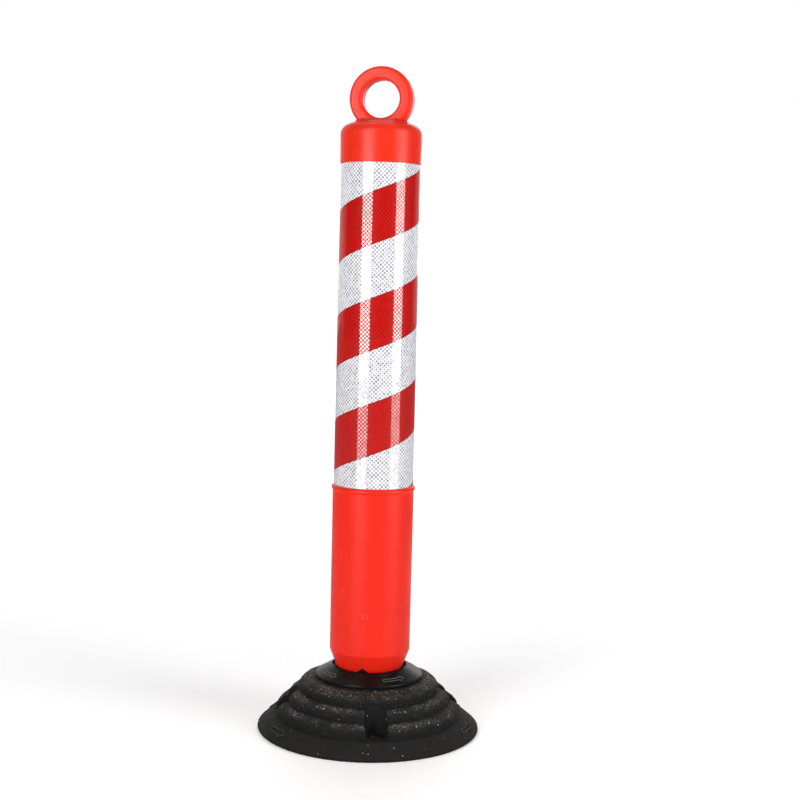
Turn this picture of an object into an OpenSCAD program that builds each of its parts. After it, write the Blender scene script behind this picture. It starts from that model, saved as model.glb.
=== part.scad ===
// Delineator post that lifts off a stepped rubber base.
// Millimetres, +Z up. The origin is on the floor at the centre of the base.
// Azimuths are counted about +Z from -Y and grow towards +X.

/* [Base] */
// Height of the sloping skirt, up to the lowest ridge
skirt_h = 17.7; // [12:0.1:24]
// Width of the sloping skirt, outside the lowest ridge
skirt_w = 17.4; // [12:0.1:30]
// Thickness of the base's outer edge
edge_t = 3.5; // [2:0.5:6]
// Height of the lowest ridge
low_ridge_h = 13; // [10:0.1:16]
// Width of the lowest ridge
low_ridge_w = 11.7; // [8:0.1:16]
// Height of the middle ridge
mid_ridge_h = 11; // [8:0.1:14]
// Width of the middle ridge
mid_ridge_w = 12.2; // [8:0.1:16]
// Height of the top ridge
top_ridge_h = 9.9; // [7:0.1:13]
// Width of the top ridge
top_ridge_w = 6.1; // [5:0.1:9]
// Rise of the crown, from the top ridge to the collar
crown_h = 2.4; // [1:0.1:4]
// Width of the crown that shows around the collar
crown_w = 10.2; // [6:0.1:16]
// Angle that each ridge's round side turns through
ridge_turn = 67; // [30:1:80]
// Half the width of a pocket at its floor
pocket_low_r = 10.2; // [7:0.1:11]
// Half the width of a pocket at the top of the middle ridge
pocket_top_r = 12.4; // [11:0.1:14]
// Number of pockets around the base
pockets = 4; // [1:1:6]

/* [Lock plate] */
// Depth of the recess under the base
recess_d = 14; // [12:0.5:18]
// Width of the lock plate outside the retaining ring's seat
plate_band = 18.2; // [14:0.1:24]
// Thickness of the lock plate
plate_t = 4; // [3:0.5:6]
// How far the screws are inside the lock plate's edge
screw_in = 8; // [6:0.5:9]
// Radius of a plate screw's shank
screw_r = 2.1; // [1.5:0.1:3]
// Length of a plate screw's shank
screw_len = 20; // [12:1:26]
// Radius of a plate screw's head
screw_head_r = 4.2; // [3.5:0.1:5]
// Height of a plate screw's head
screw_head_h = 2.6; // [2:0.1:3.5]
// Angle that the post turns through to lock
lock_turn = 60; // [30:1:90]

/* [Collar] */
// Width of the cone, from the middle of the lip to the rim
cone_w = 15.5; // [12:0.1:20]
// Thickness of the collar's rim
rim_t = 2.7; // [2:0.1:5]
// Width of the groove between the seat and the lip
groove_w = 2.9; // [1.5:0.1:4]
// Height of the lip over the collar's underside
lip_h = 12.1; // [11:0.1:15]
// Width of the lip's round top
lip_w = 2; // [1.5:0.1:3]
// Height of the post's seat over the collar's underside
seat_h = 10.7; // [9:0.1:12]
// Depth of the groove between the seat and the lip
groove_d = 3.4; // [1:0.1:4]
// Wall of the sleeve beside the flange
sleeve_t = 3.5; // [3:0.1:5]
// Thickness of the retaining ring
ring_t = 2.2; // [1.5:0.1:3]
// How far the retaining ring stands out of the sleeve
ring_out = 4.5; // [3:0.5:6]
// How deep the retaining ring sits in the sleeve
ring_in = 2; // [1.5:0.1:2.5]
// Opening of the split retaining ring
ring_split = 8; // [4:1:14]

/* [Foot] */
// How far the spigot is inside the flange
spigot_in = 8.2; // [7:0.1:10]
// Wall of the spigot
spigot_t = 4.5; // [3:0.5:5]
// How far the lugs end inside the flange
lug_in = 1.2; // [0.5:0.1:3]
// Width of a lug
lug_w = 14; // [10:0.5:18]
// Height of a lug
lug_h = 4.8; // [3:0.1:6]
// Thickness of the foot plug's flange
flange_t = 5; // [4:0.5:6]
// Room between the bolt heads and the spigot's wall
head_room = 1.5; // [1:0.1:2.5]
// Radius of the foot bolts, as a share of their heads' width
bolt_share = 0.3; // [0.2:0.01:0.4]
// Width across flats of the bolt heads, as a share of the hollow's radius
hex_share = 0.645; // [0.5:0.005:0.7]
// Height of the bolt heads, as a share of their width
head_share = 0.4; // [0.3:0.01:0.6]
// Height of the nuts, as a share of their width
nut_share = 0.5; // [0.4:0.01:0.8]
// How far a bolt stands out of its nut
bolt_out = 2; // [0:0.5:4]
// How far the backing plate ends inside the tube's wall
backing_in = 5.2; // [3:0.1:8]
// Thickness of the backing plate
backing_t = 3; // [2:0.5:5]

/* [Post] */
// Outer radius of the lower tube under the bead
tube_r = 41.1; // [39:0.1:44]
// How much slimmer the tube is at its chamfer than under the bead
tube_draft = 0.4; // [0:0.1:1]
// How far the foot is drawn in below the chamfer
foot_in = 6.5; // [4:0.1:9]
// Height of the chamfer at the foot
chamfer_h = 17.4; // [10:0.1:24]
// Wall of the tube
wall = 3; // [2:0.1:4]
// Height of the bead's middle over the foot
bead_up = 183; // [120:1:240]
// Radius of the bead's round section
bead_round = 2.6; // [1.5:0.1:3]
// How far the bead stands out of the lower tube
bead_out = 1.3; // [0.8:0.1:2]
// How much slimmer the tube is where the sheeting starts
sheet_recess = 1.5; // [0.8:0.1:2]
// How much slimmer again the tube is where the sheeting ends
sheet_taper = 0.8; // [0.2:0.1:1.6]
// How far the post is turned about its axis
post_turn = -16.5; // [-45:0.5:45]
// Width of a V notch in the foot
notch_w = 11.5; // [6:0.1:14]
// Depth of a V notch in the foot
notch_d = 5.3; // [3:0.1:7]
// Number of V notches around the foot
notches = 4; // [2:1:6]

/* [Sheeting] */
// Height of the reflective sheeting
sheet_h = 319.7; // [220:0.1:420]
// Thickness of the white sheeting
white_t = 0.35; // [0.2:0.05:0.6]
// Thickness of the red film
red_t = 0.17; // [0.1:0.01:0.3]
// Width of a stripe, square to its edges
stripe_w = 48.4; // [30:0.1:60]
// How many times the stripes repeat over the height of the sheeting
stripe_repeats = 3.083; // [2.9:0.001:3.3]
// Angle at which the stripes climb
stripe_climb = 21; // [15:0.1:30]
// Height of the first stripe's middle over the sheeting's edge, at the front
stripe_up = 58.2; // [40:0.1:66]
// Open seam between the ends of the sheeting, at the back
seam_w = 0.8; // [0.3:0.1:3]

/* [Cap] */
// Wall of the cap at its lower edge
cap_wall = 1.3; // [1:0.1:3]
// How much wider the cap is at its shoulder
cap_draft = 0.4; // [0:0.1:1]
// Height of the cap's straight side
cap_h = 28.3; // [25:0.1:45]
// Height of the cap's round shoulder
shoulder_h = 11.3; // [6:0.1:14]
// Width of the cap's round shoulder
shoulder_w = 10.1; // [6:0.1:14]
// Rise from the shoulder to the flat land under the ring
land_h = 3.2; // [1:0.1:4]
// How far the land is inside the shoulder
land_in = 5.3; // [3:0.1:8]
// How far the cap reaches down over the tube
cap_over = 20; // [12:1:24]
// Room in the cap above the tube
cap_room = 4; // [2:0.5:6]
// Outer radius of the hanging ring
eye_r = 31.7; // [28:0.1:38]
// Radius of the hole in the hanging ring
eye_hole_r = 18.5; // [12:0.1:20]
// Depth of the hanging ring, from front to back
eye_depth = 19; // [14:0.5:24]
// Radius of the hanging ring's rounded edges
eye_round = 4; // [1:0.1:5]
// How deep the ring is sunk in the cap
eye_sink = 10.9; // [8:0.1:13]

/* [Fits] */
// Gap between pieces that move past each other
clear = 0.3; // [0.2:0.05:0.5]
// Radial gap of a running fit
run_gap = 0.08; // [0.02:0.01:0.1]
// Gap between a V tooth's tip and its notch, upright
tooth_gap = 0.5; // [0.4:0.05:0.8]
// Gap of a press-on fit or a film
skin_gap = 0.1; // [0.05:0.01:0.15]

/* [Hidden] */
$fn = 96;
eps = 0.01;
far = 200;

// Radii from the tube inwards to the plug, then outwards to the collar
tube_low_r = tube_r - tube_draft;
foot_r = tube_low_r - foot_in;
flange_in = 6;
flange_r = foot_r - flange_in;
flange_hole_r = flange_r + clear;
spigot_r = flange_r - spigot_in;
hollow_r = spigot_r - spigot_t;
lug_r = flange_r - lug_in;
hex_af = hollow_r * hex_share;
bolt_r = hex_af * bolt_share;
head_h = hex_af * head_share;
nut_h = hex_af * nut_share;
bolt_ring_r = hollow_r - hex_af / 2 - head_room;
backing_r = foot_r - wall - backing_in;
seat_rim = 0.7;
seat_out_r = foot_r + seat_rim;
lip_r = seat_out_r + groove_w + lip_w / 2;
collar_r = lip_r + cone_w;
sleeve_r = flange_hole_r + sleeve_t;

// Base: radii grow outwards from the collar, heights grow upwards
ledge_w = 1;
top_r = collar_r + ledge_w;
crown_r = top_r + crown_w;
top_ridge_r = crown_r + top_ridge_w;
mid_ridge_r = top_ridge_r + mid_ridge_w;
low_ridge_r = mid_ridge_r + low_ridge_w;
base_r = low_ridge_r + skirt_w;
low_ridge_z = skirt_h + low_ridge_h;
mid_ridge_z = low_ridge_z + mid_ridge_h;
top_ridge_z = mid_ridge_z + top_ridge_h;
base_h = top_ridge_z + crown_h;
edge_round = 1;
sleeve_bore_r = sleeve_r + run_gap;
ring_seat_r = sleeve_r + ring_out + clear;
ring_shelf = 6;
pocket_sink = 0.5;
pocket_floor = skirt_h - pocket_sink;
pocket_back_r = top_ridge_r;
arc_steps = 7;

// Lock plate and lugs
plate_r = ring_seat_r + plate_band;
recess_r = plate_r + clear;
screw_ring_r = plate_r - screw_in;
plate_top = recess_d;
plate_low = plate_top - plate_t;
lug_top = plate_low - clear;
lug_low = lug_top - lug_h;
lugs = 2;
screws = 4;
screw_dome = 0.8;
slot_w = 1;
slot_d = 1.2;
stop_w = 4;
stop_in = 1.5;
stop_gap = 0.42;
stop_lead = asin((lug_w / 2 + stop_w / 2 + stop_gap) / (spigot_r + stop_in));

// Collar
collar_low = base_h + clear;
seat_z = collar_low + seat_h;
lip_z = collar_low + lip_h;
lip_drop = lip_w / 4;
sleeve_low = plate_top + clear;
shelf_z = plate_top + ring_shelf;
ring_top = shelf_z - clear;
ring_low = ring_top - ring_t;
tooth_h = notch_d + clear - tooth_gap;
tooth_w = notch_w * tooth_h / notch_d;
rim_round = 1;

// Post
foot_z = seat_z + clear;
floor_over = 1.5;
floor_z = foot_z + notch_d + floor_over;
chamfer_z = foot_z + chamfer_h;
bead_z = foot_z + bead_up;
skin_r = tube_r - sheet_recess;
skin_top_r = skin_r - sheet_taper;
sheet_z = bead_z + bead_round + clear;
sheet_top = sheet_z + sheet_h;
cap_z = sheet_top + clear;
tube_top = cap_z + cap_over;
notch_in_r = flange_r + clear;
spigot_low = lug_low;
foot_bolts_n = 3;
backing_top = floor_z + backing_t;

// Sheeting
white_in_r = skin_r + skin_gap;
white_r = white_in_r + white_t;
white_top_r = white_r - sheet_taper;
lead = 2 * PI * white_r * tan(stripe_climb);
stripe_half = stripe_w / cos(stripe_climb) / 2;
stripe_pitch = sheet_h / stripe_repeats;
seam_half = seam_w / 2 / white_r * 180 / PI;
band_step = 5;
band_tip = 0.6;

// Cap
cap_in_r = skin_top_r + skin_gap;
cap_low_r = cap_in_r + cap_wall;
cap_r = cap_low_r + cap_draft;
land_r = cap_r - shoulder_w - land_in;
cap_hollow = cap_over + cap_room;
shoulder_z = cap_z + cap_h;
shoulder_turn = 76;
land_z = shoulder_z + shoulder_h + land_h;
eye_z = land_z + eye_r - eye_sink;
cap_edge = 0.6;

// Points of an arc from a to b that turns through the angle turn, with a and b included.
// It bulges to the left of the way from a to b, or to the right where turn is negative.
function arc(a, b, turn, n = arc_steps) =
    let (
        d = b - a,
        chord = norm(d),
        r = chord / 2 / sin(abs(turn) / 2),
        left = [-d.y, d.x] / chord,
        c = (a + b) / 2 - left * sign(turn) * r * cos(turn / 2),
        start = atan2(a.y - c.y, a.x - c.x)
    )
    [for (i = [0:n]) c + r * [cos(start - turn * i / n), sin(start - turn * i / n)]];

// Places n copies evenly about +Z, the first at azimuth 0
module around(n) {
    for (i = [0:n - 1]) rotate([0, 0, 360 * i / n]) children();
}

// A disc or ring standing on z, from inner radius r0 to outer radius r1
module washer(z, h, r0, r1) {
    translate([0, 0, z]) difference() {
        cylinder(h = h, r = r1);
        translate([0, 0, -1]) cylinder(h = h + 2, r = r0);
    }
}

// The cross-section, across the axis, of the spigot's two lugs, wider by gap
module lug_outline(gap) {
    intersection() {
        circle(r = lug_r + gap);
        square([lug_w + 2 * gap, far], center = true);
    }
}

// ---- Base ----

module base_profile() {
    polygon(concat(
        [[0, 0], [base_r - edge_round, 0], [base_r, edge_round], [base_r, edge_t]],
        arc([low_ridge_r, skirt_h], [mid_ridge_r, low_ridge_z], -ridge_turn),
        arc([mid_ridge_r, low_ridge_z], [top_ridge_r, mid_ridge_z], -ridge_turn),
        arc([top_ridge_r, mid_ridge_z], [crown_r, top_ridge_z], -ridge_turn),
        [[top_r, base_h], [0, base_h]]
    ));
}

// The space of one pocket, open upwards and outwards, wider towards its top
module pocket() {
    centre_r = pocket_back_r + pocket_top_r;
    h = base_h - pocket_floor;
    top_r = pocket_low_r + (pocket_top_r - pocket_low_r) * h / (mid_ridge_z - pocket_floor);
    translate([0, -centre_r, pocket_floor]) {
        cylinder(h = h, r1 = pocket_low_r, r2 = top_r);
        rotate([90, 0, 0]) linear_extrude(far)
            polygon([[-pocket_low_r, 0], [pocket_low_r, 0], [top_r, h], [-top_r, h]]);
    }
}

module rubber_base() {
    color([0.09, 0.09, 0.09]) difference() {
        rotate_extrude() base_profile();
        translate([0, 0, -1]) cylinder(h = far, r = sleeve_bore_r);
        translate([0, 0, -1]) cylinder(h = recess_d + 1, r = recess_r);
        translate([0, 0, recess_d - 1]) cylinder(h = ring_shelf + 1, r = ring_seat_r);
        around(pockets) pocket();
        rotate([0, 0, post_turn]) plate_screw_places() cylinder(h = screw_len + 1, r = screw_r + clear);
    }
}

// ---- Lock plate, fixed under the base ----

module plate_screw_places() {
    rotate([0, 0, 45]) around(screws) translate([0, -screw_ring_r, plate_low]) children();
}

module lock_plate() {
    color([0.12, 0.12, 0.13]) rotate([0, 0, post_turn]) {
        difference() {
            translate([0, 0, plate_low]) cylinder(h = plate_t, r = plate_r);
            translate([0, 0, plate_low - 1]) cylinder(h = plate_t + 2, r = spigot_r + clear);
            translate([0, 0, plate_low - 1]) linear_extrude(plate_t + 2) lug_outline(clear);
            plate_screw_places() translate([0, 0, -1]) cylinder(h = plate_t + 2, r = screw_r + clear);
        }
        around(lugs) for (turn = [stop_lead, -lock_turn - stop_lead]) rotate([0, 0, turn])
            translate([-stop_w / 2, -lug_r - stop_in, lug_low])
                cube([stop_w, lug_r - spigot_r, lug_h + clear + plate_t / 2]);
    }
}

module lock_plate_screws() {
    color([0.75, 0.75, 0.77]) rotate([0, 0, post_turn]) plate_screw_places() {
        cylinder(h = screw_len, r = screw_r);
        difference() {
            translate([0, 0, -screw_head_h])
                cylinder(h = screw_head_h, r1 = screw_head_r * screw_dome, r2 = screw_head_r);
            for (turn = [0, 90]) rotate([0, 0, turn])
                translate([-screw_r, -slot_w / 2, -screw_head_h - 1]) cube([2 * screw_r, slot_w, 1 + slot_d]);
        }
    }
}

// ---- Collar, turns with the post ----

module collar_profile() {
    polygon(concat(
        [[0, sleeve_low], [sleeve_r, sleeve_low], [sleeve_r, collar_low], [collar_r - rim_round, collar_low],
         [collar_r, collar_low + rim_round]],
        arc([collar_r, collar_low + rim_t - rim_round], [collar_r - rim_round, collar_low + rim_t], -90, 4),
        arc([lip_r + lip_w / 2, lip_z - lip_drop], [lip_r - lip_w / 2, lip_z - lip_drop], -120, 6),
        [[lip_r - lip_w / 2, seat_z - groove_d], [seat_out_r, seat_z - groove_d], [seat_out_r, seat_z],
         [0, seat_z]]
    ));
}

// A V tooth, radial, that stands up into a notch of the foot
module tooth() {
    translate([0, -flange_hole_r, seat_z - eps]) rotate([90, 0, 0])
        linear_extrude(seat_out_r - flange_hole_r)
            polygon([[-tooth_w / 2, 0], [tooth_w / 2, 0], [0, tooth_h + eps]]);
}

module twist_collar() {
    color([0.05, 0.05, 0.05]) rotate([0, 0, post_turn]) difference() {
        union() {
            rotate_extrude() collar_profile();
            around(notches) tooth();
        }
        translate([0, 0, -1]) cylinder(h = far, r = spigot_r + run_gap);
        translate([0, 0, -1]) linear_extrude(far) lug_outline(clear);
        translate([0, 0, foot_z - flange_t - clear]) cylinder(h = far, r = flange_hole_r);
        washer(ring_low - skin_gap, ring_t + 2 * skin_gap, sleeve_r - ring_in, sleeve_r + 1);
    }
}

module collar_retainer() {
    color([0.7, 0.7, 0.72]) rotate([0, 0, post_turn]) difference() {
        washer(ring_low, ring_t, sleeve_r - ring_in + skin_gap, sleeve_r + ring_out);
        translate([0, -ring_split / 2, 0]) cube([far, ring_split, far]);
    }
}

// ---- Post ----

module post_profile() {
    bead_foot = [tube_r, bead_z - bead_round];
    difference() {
        union() {
            polygon([
                [0, foot_z], [foot_r, foot_z], [tube_low_r, chamfer_z], bead_foot,
                [tube_r, bead_z + bead_round / 2], [skin_r, sheet_z - clear], [skin_top_r, sheet_top],
                [skin_top_r, tube_top], [0, tube_top]
            ]);
            translate([tube_r + bead_out - bead_round, bead_z]) circle(r = bead_round);
        }
        polygon([
            [-1, floor_z], [foot_r - wall, floor_z], [tube_low_r - wall, chamfer_z], [skin_r - wall, bead_z],
            [skin_top_r - wall, sheet_top], [skin_top_r - wall, tube_top + 1], [-1, tube_top + 1]
        ]);
    }
}

// The V-shaped cut of one notch, radial, through the foot's edge
module notch() {
    translate([0, -notch_in_r, foot_z]) rotate([90, 0, 0])
        linear_extrude(far) polygon([[-notch_w, -notch_d], [notch_w, -notch_d], [0, notch_d]]);
}

module post_tube() {
    color([0.93, 0.2, 0.1]) rotate([0, 0, post_turn]) difference() {
        rotate_extrude() post_profile();
        around(notches) notch();
        foot_bolt_places() translate([0, 0, -far]) cylinder(h = 2 * far, r = bolt_r + clear);
    }
}

// ---- Foot plug and its fasteners ----

module foot_bolt_places() {
    around(foot_bolts_n) translate([0, -bolt_ring_r, foot_z - flange_t]) children();
}

module hex_prism(h) {
    cylinder(h = h, r = hex_af / 2 / cos(30), $fn = 6);
}

module foot_flange() {
    color([0.1, 0.1, 0.11]) rotate([0, 0, post_turn]) difference() {
        translate([0, 0, foot_z - flange_t]) cylinder(h = flange_t, r = flange_r);
        foot_bolt_places() translate([0, 0, -1]) cylinder(h = flange_t + 2, r = bolt_r + clear);
    }
}

// The spigot's hollow is open all the way up to the flange
module spigot() {
    color([0.1, 0.1, 0.11]) rotate([0, 0, post_turn]) difference() {
        union() {
            translate([0, 0, spigot_low]) cylinder(h = foot_z - flange_t - spigot_low, r = spigot_r);
            translate([0, 0, lug_low]) linear_extrude(lug_h) lug_outline(0);
        }
        cylinder(h = foot_z, r = hollow_r);
    }
}

module backing_plate() {
    color([0.7, 0.7, 0.72]) rotate([0, 0, post_turn]) difference() {
        translate([0, 0, floor_z]) cylinder(h = backing_t, r = backing_r);
        foot_bolt_places() cylinder(h = far, r = bolt_r + clear);
    }
}

module foot_bolts() {
    length = backing_top + nut_h + bolt_out - foot_z + flange_t;
    color([0.75, 0.75, 0.77]) rotate([0, 0, post_turn]) foot_bolt_places() {
        cylinder(h = length, r = bolt_r);
        translate([0, 0, -head_h]) hex_prism(head_h);
    }
}

module foot_nuts() {
    color([0.75, 0.75, 0.77]) rotate([0, 0, post_turn]) difference() {
        foot_bolt_places() translate([0, 0, backing_top - foot_z + flange_t]) hex_prism(nut_h);
        foot_bolt_places() cylinder(h = far, r = bolt_r + skin_gap);
    }
}

// ---- Cap with its hanging ring ----

module cap_profile() {
    polygon(concat(
        [[cap_in_r, cap_z], [cap_low_r - cap_edge, cap_z], [cap_low_r, cap_z + cap_edge]],
        arc([cap_r, shoulder_z], [cap_r - shoulder_w, shoulder_z + shoulder_h], -shoulder_turn),
        [[land_r, land_z], [0, land_z], [0, cap_z + cap_hollow], [cap_in_r, cap_z + cap_hollow]]
    ));
}

// The ring's section: a rectangle with rounded corners, beside the hole's axis
module eye_section() {
    w = eye_r - eye_hole_r;
    translate([eye_hole_r, -eye_depth / 2]) {
        translate([eye_round, 0]) square([w - 2 * eye_round, eye_depth]);
        translate([0, eye_round]) square([w, eye_depth - 2 * eye_round]);
        for (x = [eye_round, w - eye_round], y = [eye_round, eye_depth - eye_round])
            translate([x, y]) circle(r = eye_round);
    }
}

module top_cap() {
    color([0.93, 0.2, 0.1]) rotate([0, 0, post_turn]) difference() {
        union() {
            rotate_extrude() cap_profile();
            translate([0, 0, eye_z]) rotate([90, 0, 0]) rotate_extrude() eye_section();
        }
        translate([0, 0, eye_z]) rotate([90, 0, 0])
            cylinder(h = eye_depth - 2 * eye_round, r = eye_hole_r, center = true);
    }
}

// ---- Reflective sheeting ----

module white_sheeting() {
    color([0.93, 0.94, 0.95]) rotate([0, 0, post_turn]) difference() {
        translate([0, 0, sheet_z]) cylinder(h = sheet_h, r1 = white_r, r2 = white_top_r);
        translate([0, 0, sheet_z]) cylinder(h = sheet_h, r1 = white_in_r, r2 = white_in_r - sheet_taper);
        translate([-seam_w / 2, 0, sheet_z - 1]) cube([seam_w, far, sheet_h + 2]);
    }
}

// Height of a stripe's middle at azimuth a from the post's front
function stripe_z(n, a) = sheet_z + stripe_up + (n - 2) * stripe_pitch + lead * a / 360;

// Radius of the white sheeting's outer face at height z
function white_at(z) = white_r - sheet_taper * (z - sheet_z) / sheet_h;

// A point of the red film at azimuth a and height z, that far out of the white sheeting.
// The faces between the points are flat, so the points lie a little further out.
function film_point(a, z, out) =
    let (r = (white_at(z) + out) / cos(band_step / 2))
    [r * sin(a), -r * cos(a), z];

// Red film number n, wrapped around the white sheeting and cut off at its edges
module red_band(n) {
    in = skin_gap;
    out = skin_gap + red_t;
    // Azimuths between which the stripe has some height left inside the sheeting
    low_a = (sheet_z + band_tip - stripe_half - stripe_z(n, 0)) * 360 / lead;
    high_a = (sheet_top - band_tip + stripe_half - stripe_z(n, 0)) * 360 / lead;
    a0 = max(seam_half - 180, low_a);
    a1 = min(180 - seam_half, high_a);
    steps = ceil((a1 - a0) / band_step);
    points = [for (i = [0:steps])
        let (
            a = a0 + (a1 - a0) * i / steps,
            lo = max(sheet_z, stripe_z(n, a) - stripe_half),
            hi = min(sheet_top, stripe_z(n, a) + stripe_half)
        )
        each [film_point(a, lo, in), film_point(a, lo, out), film_point(a, hi, out), film_point(a, hi, in)]];
    sides = [for (i = [0:steps - 1], k = [0:3])
        [4 * i + k, 4 * i + (k + 1) % 4, 4 * i + 4 + (k + 1) % 4, 4 * i + 4 + k]];
    ends = [[3, 2, 1, 0], [for (k = [0:3]) 4 * steps + k]];
    color([0.8, 0.05, 0.06]) rotate([0, 0, post_turn]) polyhedron(points, concat(sides, ends));
}

rubber_base();
lock_plate();
lock_plate_screws();
twist_collar();
collar_retainer();
post_tube();
foot_flange();
spigot();
backing_plate();
foot_bolts();
foot_nuts();
top_cap();
white_sheeting();
red_band(1);  // red_band_1
red_band(2);  // red_band_2
red_band(3);  // red_band_3
red_band(4);  // red_band_4
red_band(5);  // red_band_5
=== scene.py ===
"""Visual model of a delineator post: a flexible striped tube that locks into a heavy rubber foot.

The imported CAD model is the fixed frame. Each sub-assembly below takes its places from that frame,
builds finer meshes than the CAD solids, dresses them in procedural finishes and lets them ride on
the body that they belong to. All lengths are in metres, with the origin on the floor under the post.
"""

import logging
import math
from dataclasses import dataclass, field
from enum import Enum
from typing import Callable, Iterable

import bmesh
import bpy
import numpy as np
from mathutils import Matrix, Vector, noise


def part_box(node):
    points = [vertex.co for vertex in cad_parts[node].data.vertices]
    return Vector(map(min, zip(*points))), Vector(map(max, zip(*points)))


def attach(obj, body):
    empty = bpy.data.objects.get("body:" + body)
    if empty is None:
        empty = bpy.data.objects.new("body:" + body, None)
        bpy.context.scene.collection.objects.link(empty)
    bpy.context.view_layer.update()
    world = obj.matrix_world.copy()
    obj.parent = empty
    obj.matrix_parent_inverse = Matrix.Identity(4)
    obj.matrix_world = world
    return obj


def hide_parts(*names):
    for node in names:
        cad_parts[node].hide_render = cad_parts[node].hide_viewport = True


log = logging.getLogger("delineator")

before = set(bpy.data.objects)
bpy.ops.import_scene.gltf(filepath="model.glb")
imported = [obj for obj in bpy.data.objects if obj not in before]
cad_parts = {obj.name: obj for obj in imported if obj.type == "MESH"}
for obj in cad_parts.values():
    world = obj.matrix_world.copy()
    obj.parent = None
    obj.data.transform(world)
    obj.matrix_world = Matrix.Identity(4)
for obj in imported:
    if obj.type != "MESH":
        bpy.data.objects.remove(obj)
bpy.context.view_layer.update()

MM = 0.001
POST_TURN = math.radians(-16.5)
FRONT = -math.pi / 2
Colour = tuple[float, float, float, float]
Node = bpy.types.Node
Socket = bpy.types.NodeSocket


class Body(Enum):
    """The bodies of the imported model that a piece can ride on."""

    BASE = "base"
    COLLAR = "collar"
    POST = "post"


class Slot(Enum):
    """Names of the material slots."""

    RUBBER = "crumb_rubber"
    COLLAR = "collar_plastic"
    FOOT = "foot_plastic"
    STEEL = "steel"
    TUBE = "post_plastic"
    WHITE = "white_reflective"
    RED = "red_reflective"


# ---------------------------------------------------------------- node layout


class NodeSheet:
    """Lays out the nodes of one tree, so that each formula reads as a line or two."""

    def __init__(self, tree: bpy.types.NodeTree) -> None:
        """Starts a sheet on an empty tree.

        Args:
            tree: The node tree to fill.
        """
        self.tree = tree
        self.count = 0

    def add(self, kind: str, inputs: dict | None = None, **settings: object) -> Node:
        """Adds a node.

        Args:
            kind: The node's type.
            inputs: What feeds each input, by the input's name or index: a socket or a value.
            settings: The node's own options, set before its inputs.

        Returns:
            The new node.
        """
        node = self.tree.nodes.new(kind)
        node.location = (190 * (self.count % 10), -240 * (self.count // 10))
        self.count += 1
        for key, value in settings.items():
            setattr(node, key, value)
        for key, value in (inputs or {}).items():
            self.feed(self.pick(node.inputs, key), value)
        return node

    @staticmethod
    def pick(sockets: Iterable[Socket], key: str | int) -> Socket:
        """Finds a socket by index, or by name among those in use.

        Args:
            sockets: A node's inputs or outputs.
            key: The socket's index or name.

        Returns:
            The socket.
        """
        if isinstance(key, int):
            return sockets[key]
        return next(s for s in sockets if s.name == key and s.enabled)

    def feed(self, socket: Socket, value: object) -> None:
        """Links a socket into an input, or sets the input's own value.

        Args:
            socket: The input.
            value: A socket to link, or a plain value.
        """
        if isinstance(value, bpy.types.NodeSocket):
            self.tree.links.new(value, socket)
        else:
            socket.default_value = value

    def out(self, kind: str, name: str | int, inputs: dict | None = None, **settings: object) -> Socket:
        """Adds a node and returns one of its outputs.

        Args:
            kind: The node's type.
            name: The output's name or index.
            inputs: As for add().
            settings: As for add().

        Returns:
            The output socket.
        """
        return self.pick(self.add(kind, inputs, **settings).outputs, name)

    def math(self, operation: str, *values: Socket | float) -> Socket:
        """One step of arithmetic.

        Args:
            operation: The Math node's operation.
            values: Its operands in order.

        Returns:
            The result.
        """
        return self.out("ShaderNodeMath", 0, dict(enumerate(values)), operation=operation)

    def span(self, value: Socket, low: float, high: float, to_low: float = 0.0, to_high: float = 1.0) -> Socket:
        """Maps a range of a value onto another range, clamped.

        Args:
            value: The value to map.
            low: Start of the range.
            high: End of the range.
            to_low: Result at low.
            to_high: Result at high.

        Returns:
            The mapped value.
        """
        return self.out("ShaderNodeMapRange", 0, {0: value, 1: low, 2: high, 3: to_low, 4: to_high})

    def blend(self, factor: Socket | float, first: object, second: object, how: str = "MIX") -> Socket:
        """Mixes two colours.

        Args:
            factor: Share of the second colour.
            first: A colour or a socket.
            second: A colour or a socket.
            how: The blend type.

        Returns:
            The mixed colour.
        """
        inputs = {0: factor, 6: first, 7: second}
        return self.out("ShaderNodeMix", 2, inputs, data_type="RGBA", blend_type=how)

    def noise(self, place: Socket, scale: float, detail: float = 3.0, rough: float = 0.55) -> Socket:
        """Cloudy noise from 0 to 1.

        Args:
            place: Coordinates in metres.
            scale: Clouds per metre.
            detail: Octaves.
            rough: Strength of the finer octaves.

        Returns:
            The noise value.
        """
        inputs = {"Vector": place, "Scale": scale, "Detail": detail, "Roughness": rough}
        return self.out("ShaderNodeTexNoise", 0, inputs)

    def group(self, tree: bpy.types.NodeTree, **inputs: object) -> Node:
        """Places a shader group.

        Args:
            tree: The group's tree.
            inputs: What feeds its inputs, with spaces in names written as underscores.

        Returns:
            The group node.
        """
        node = self.add("ShaderNodeGroup")
        node.node_tree = tree
        for key, value in inputs.items():
            self.feed(node.inputs[key.replace("_", " ")], value)
        return node


@dataclass(frozen=True)
class Port:
    """One socket of a group: its name, the kind of value and the value when nothing feeds it."""

    name: str
    kind: str
    value: object = None


FLOAT, INT, VECTOR, GEOMETRY, MATERIAL, COLOUR = (
    "NodeSocketFloat", "NodeSocketInt", "NodeSocketVector",
    "NodeSocketGeometry", "NodeSocketMaterial", "NodeSocketColor",
)


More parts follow.
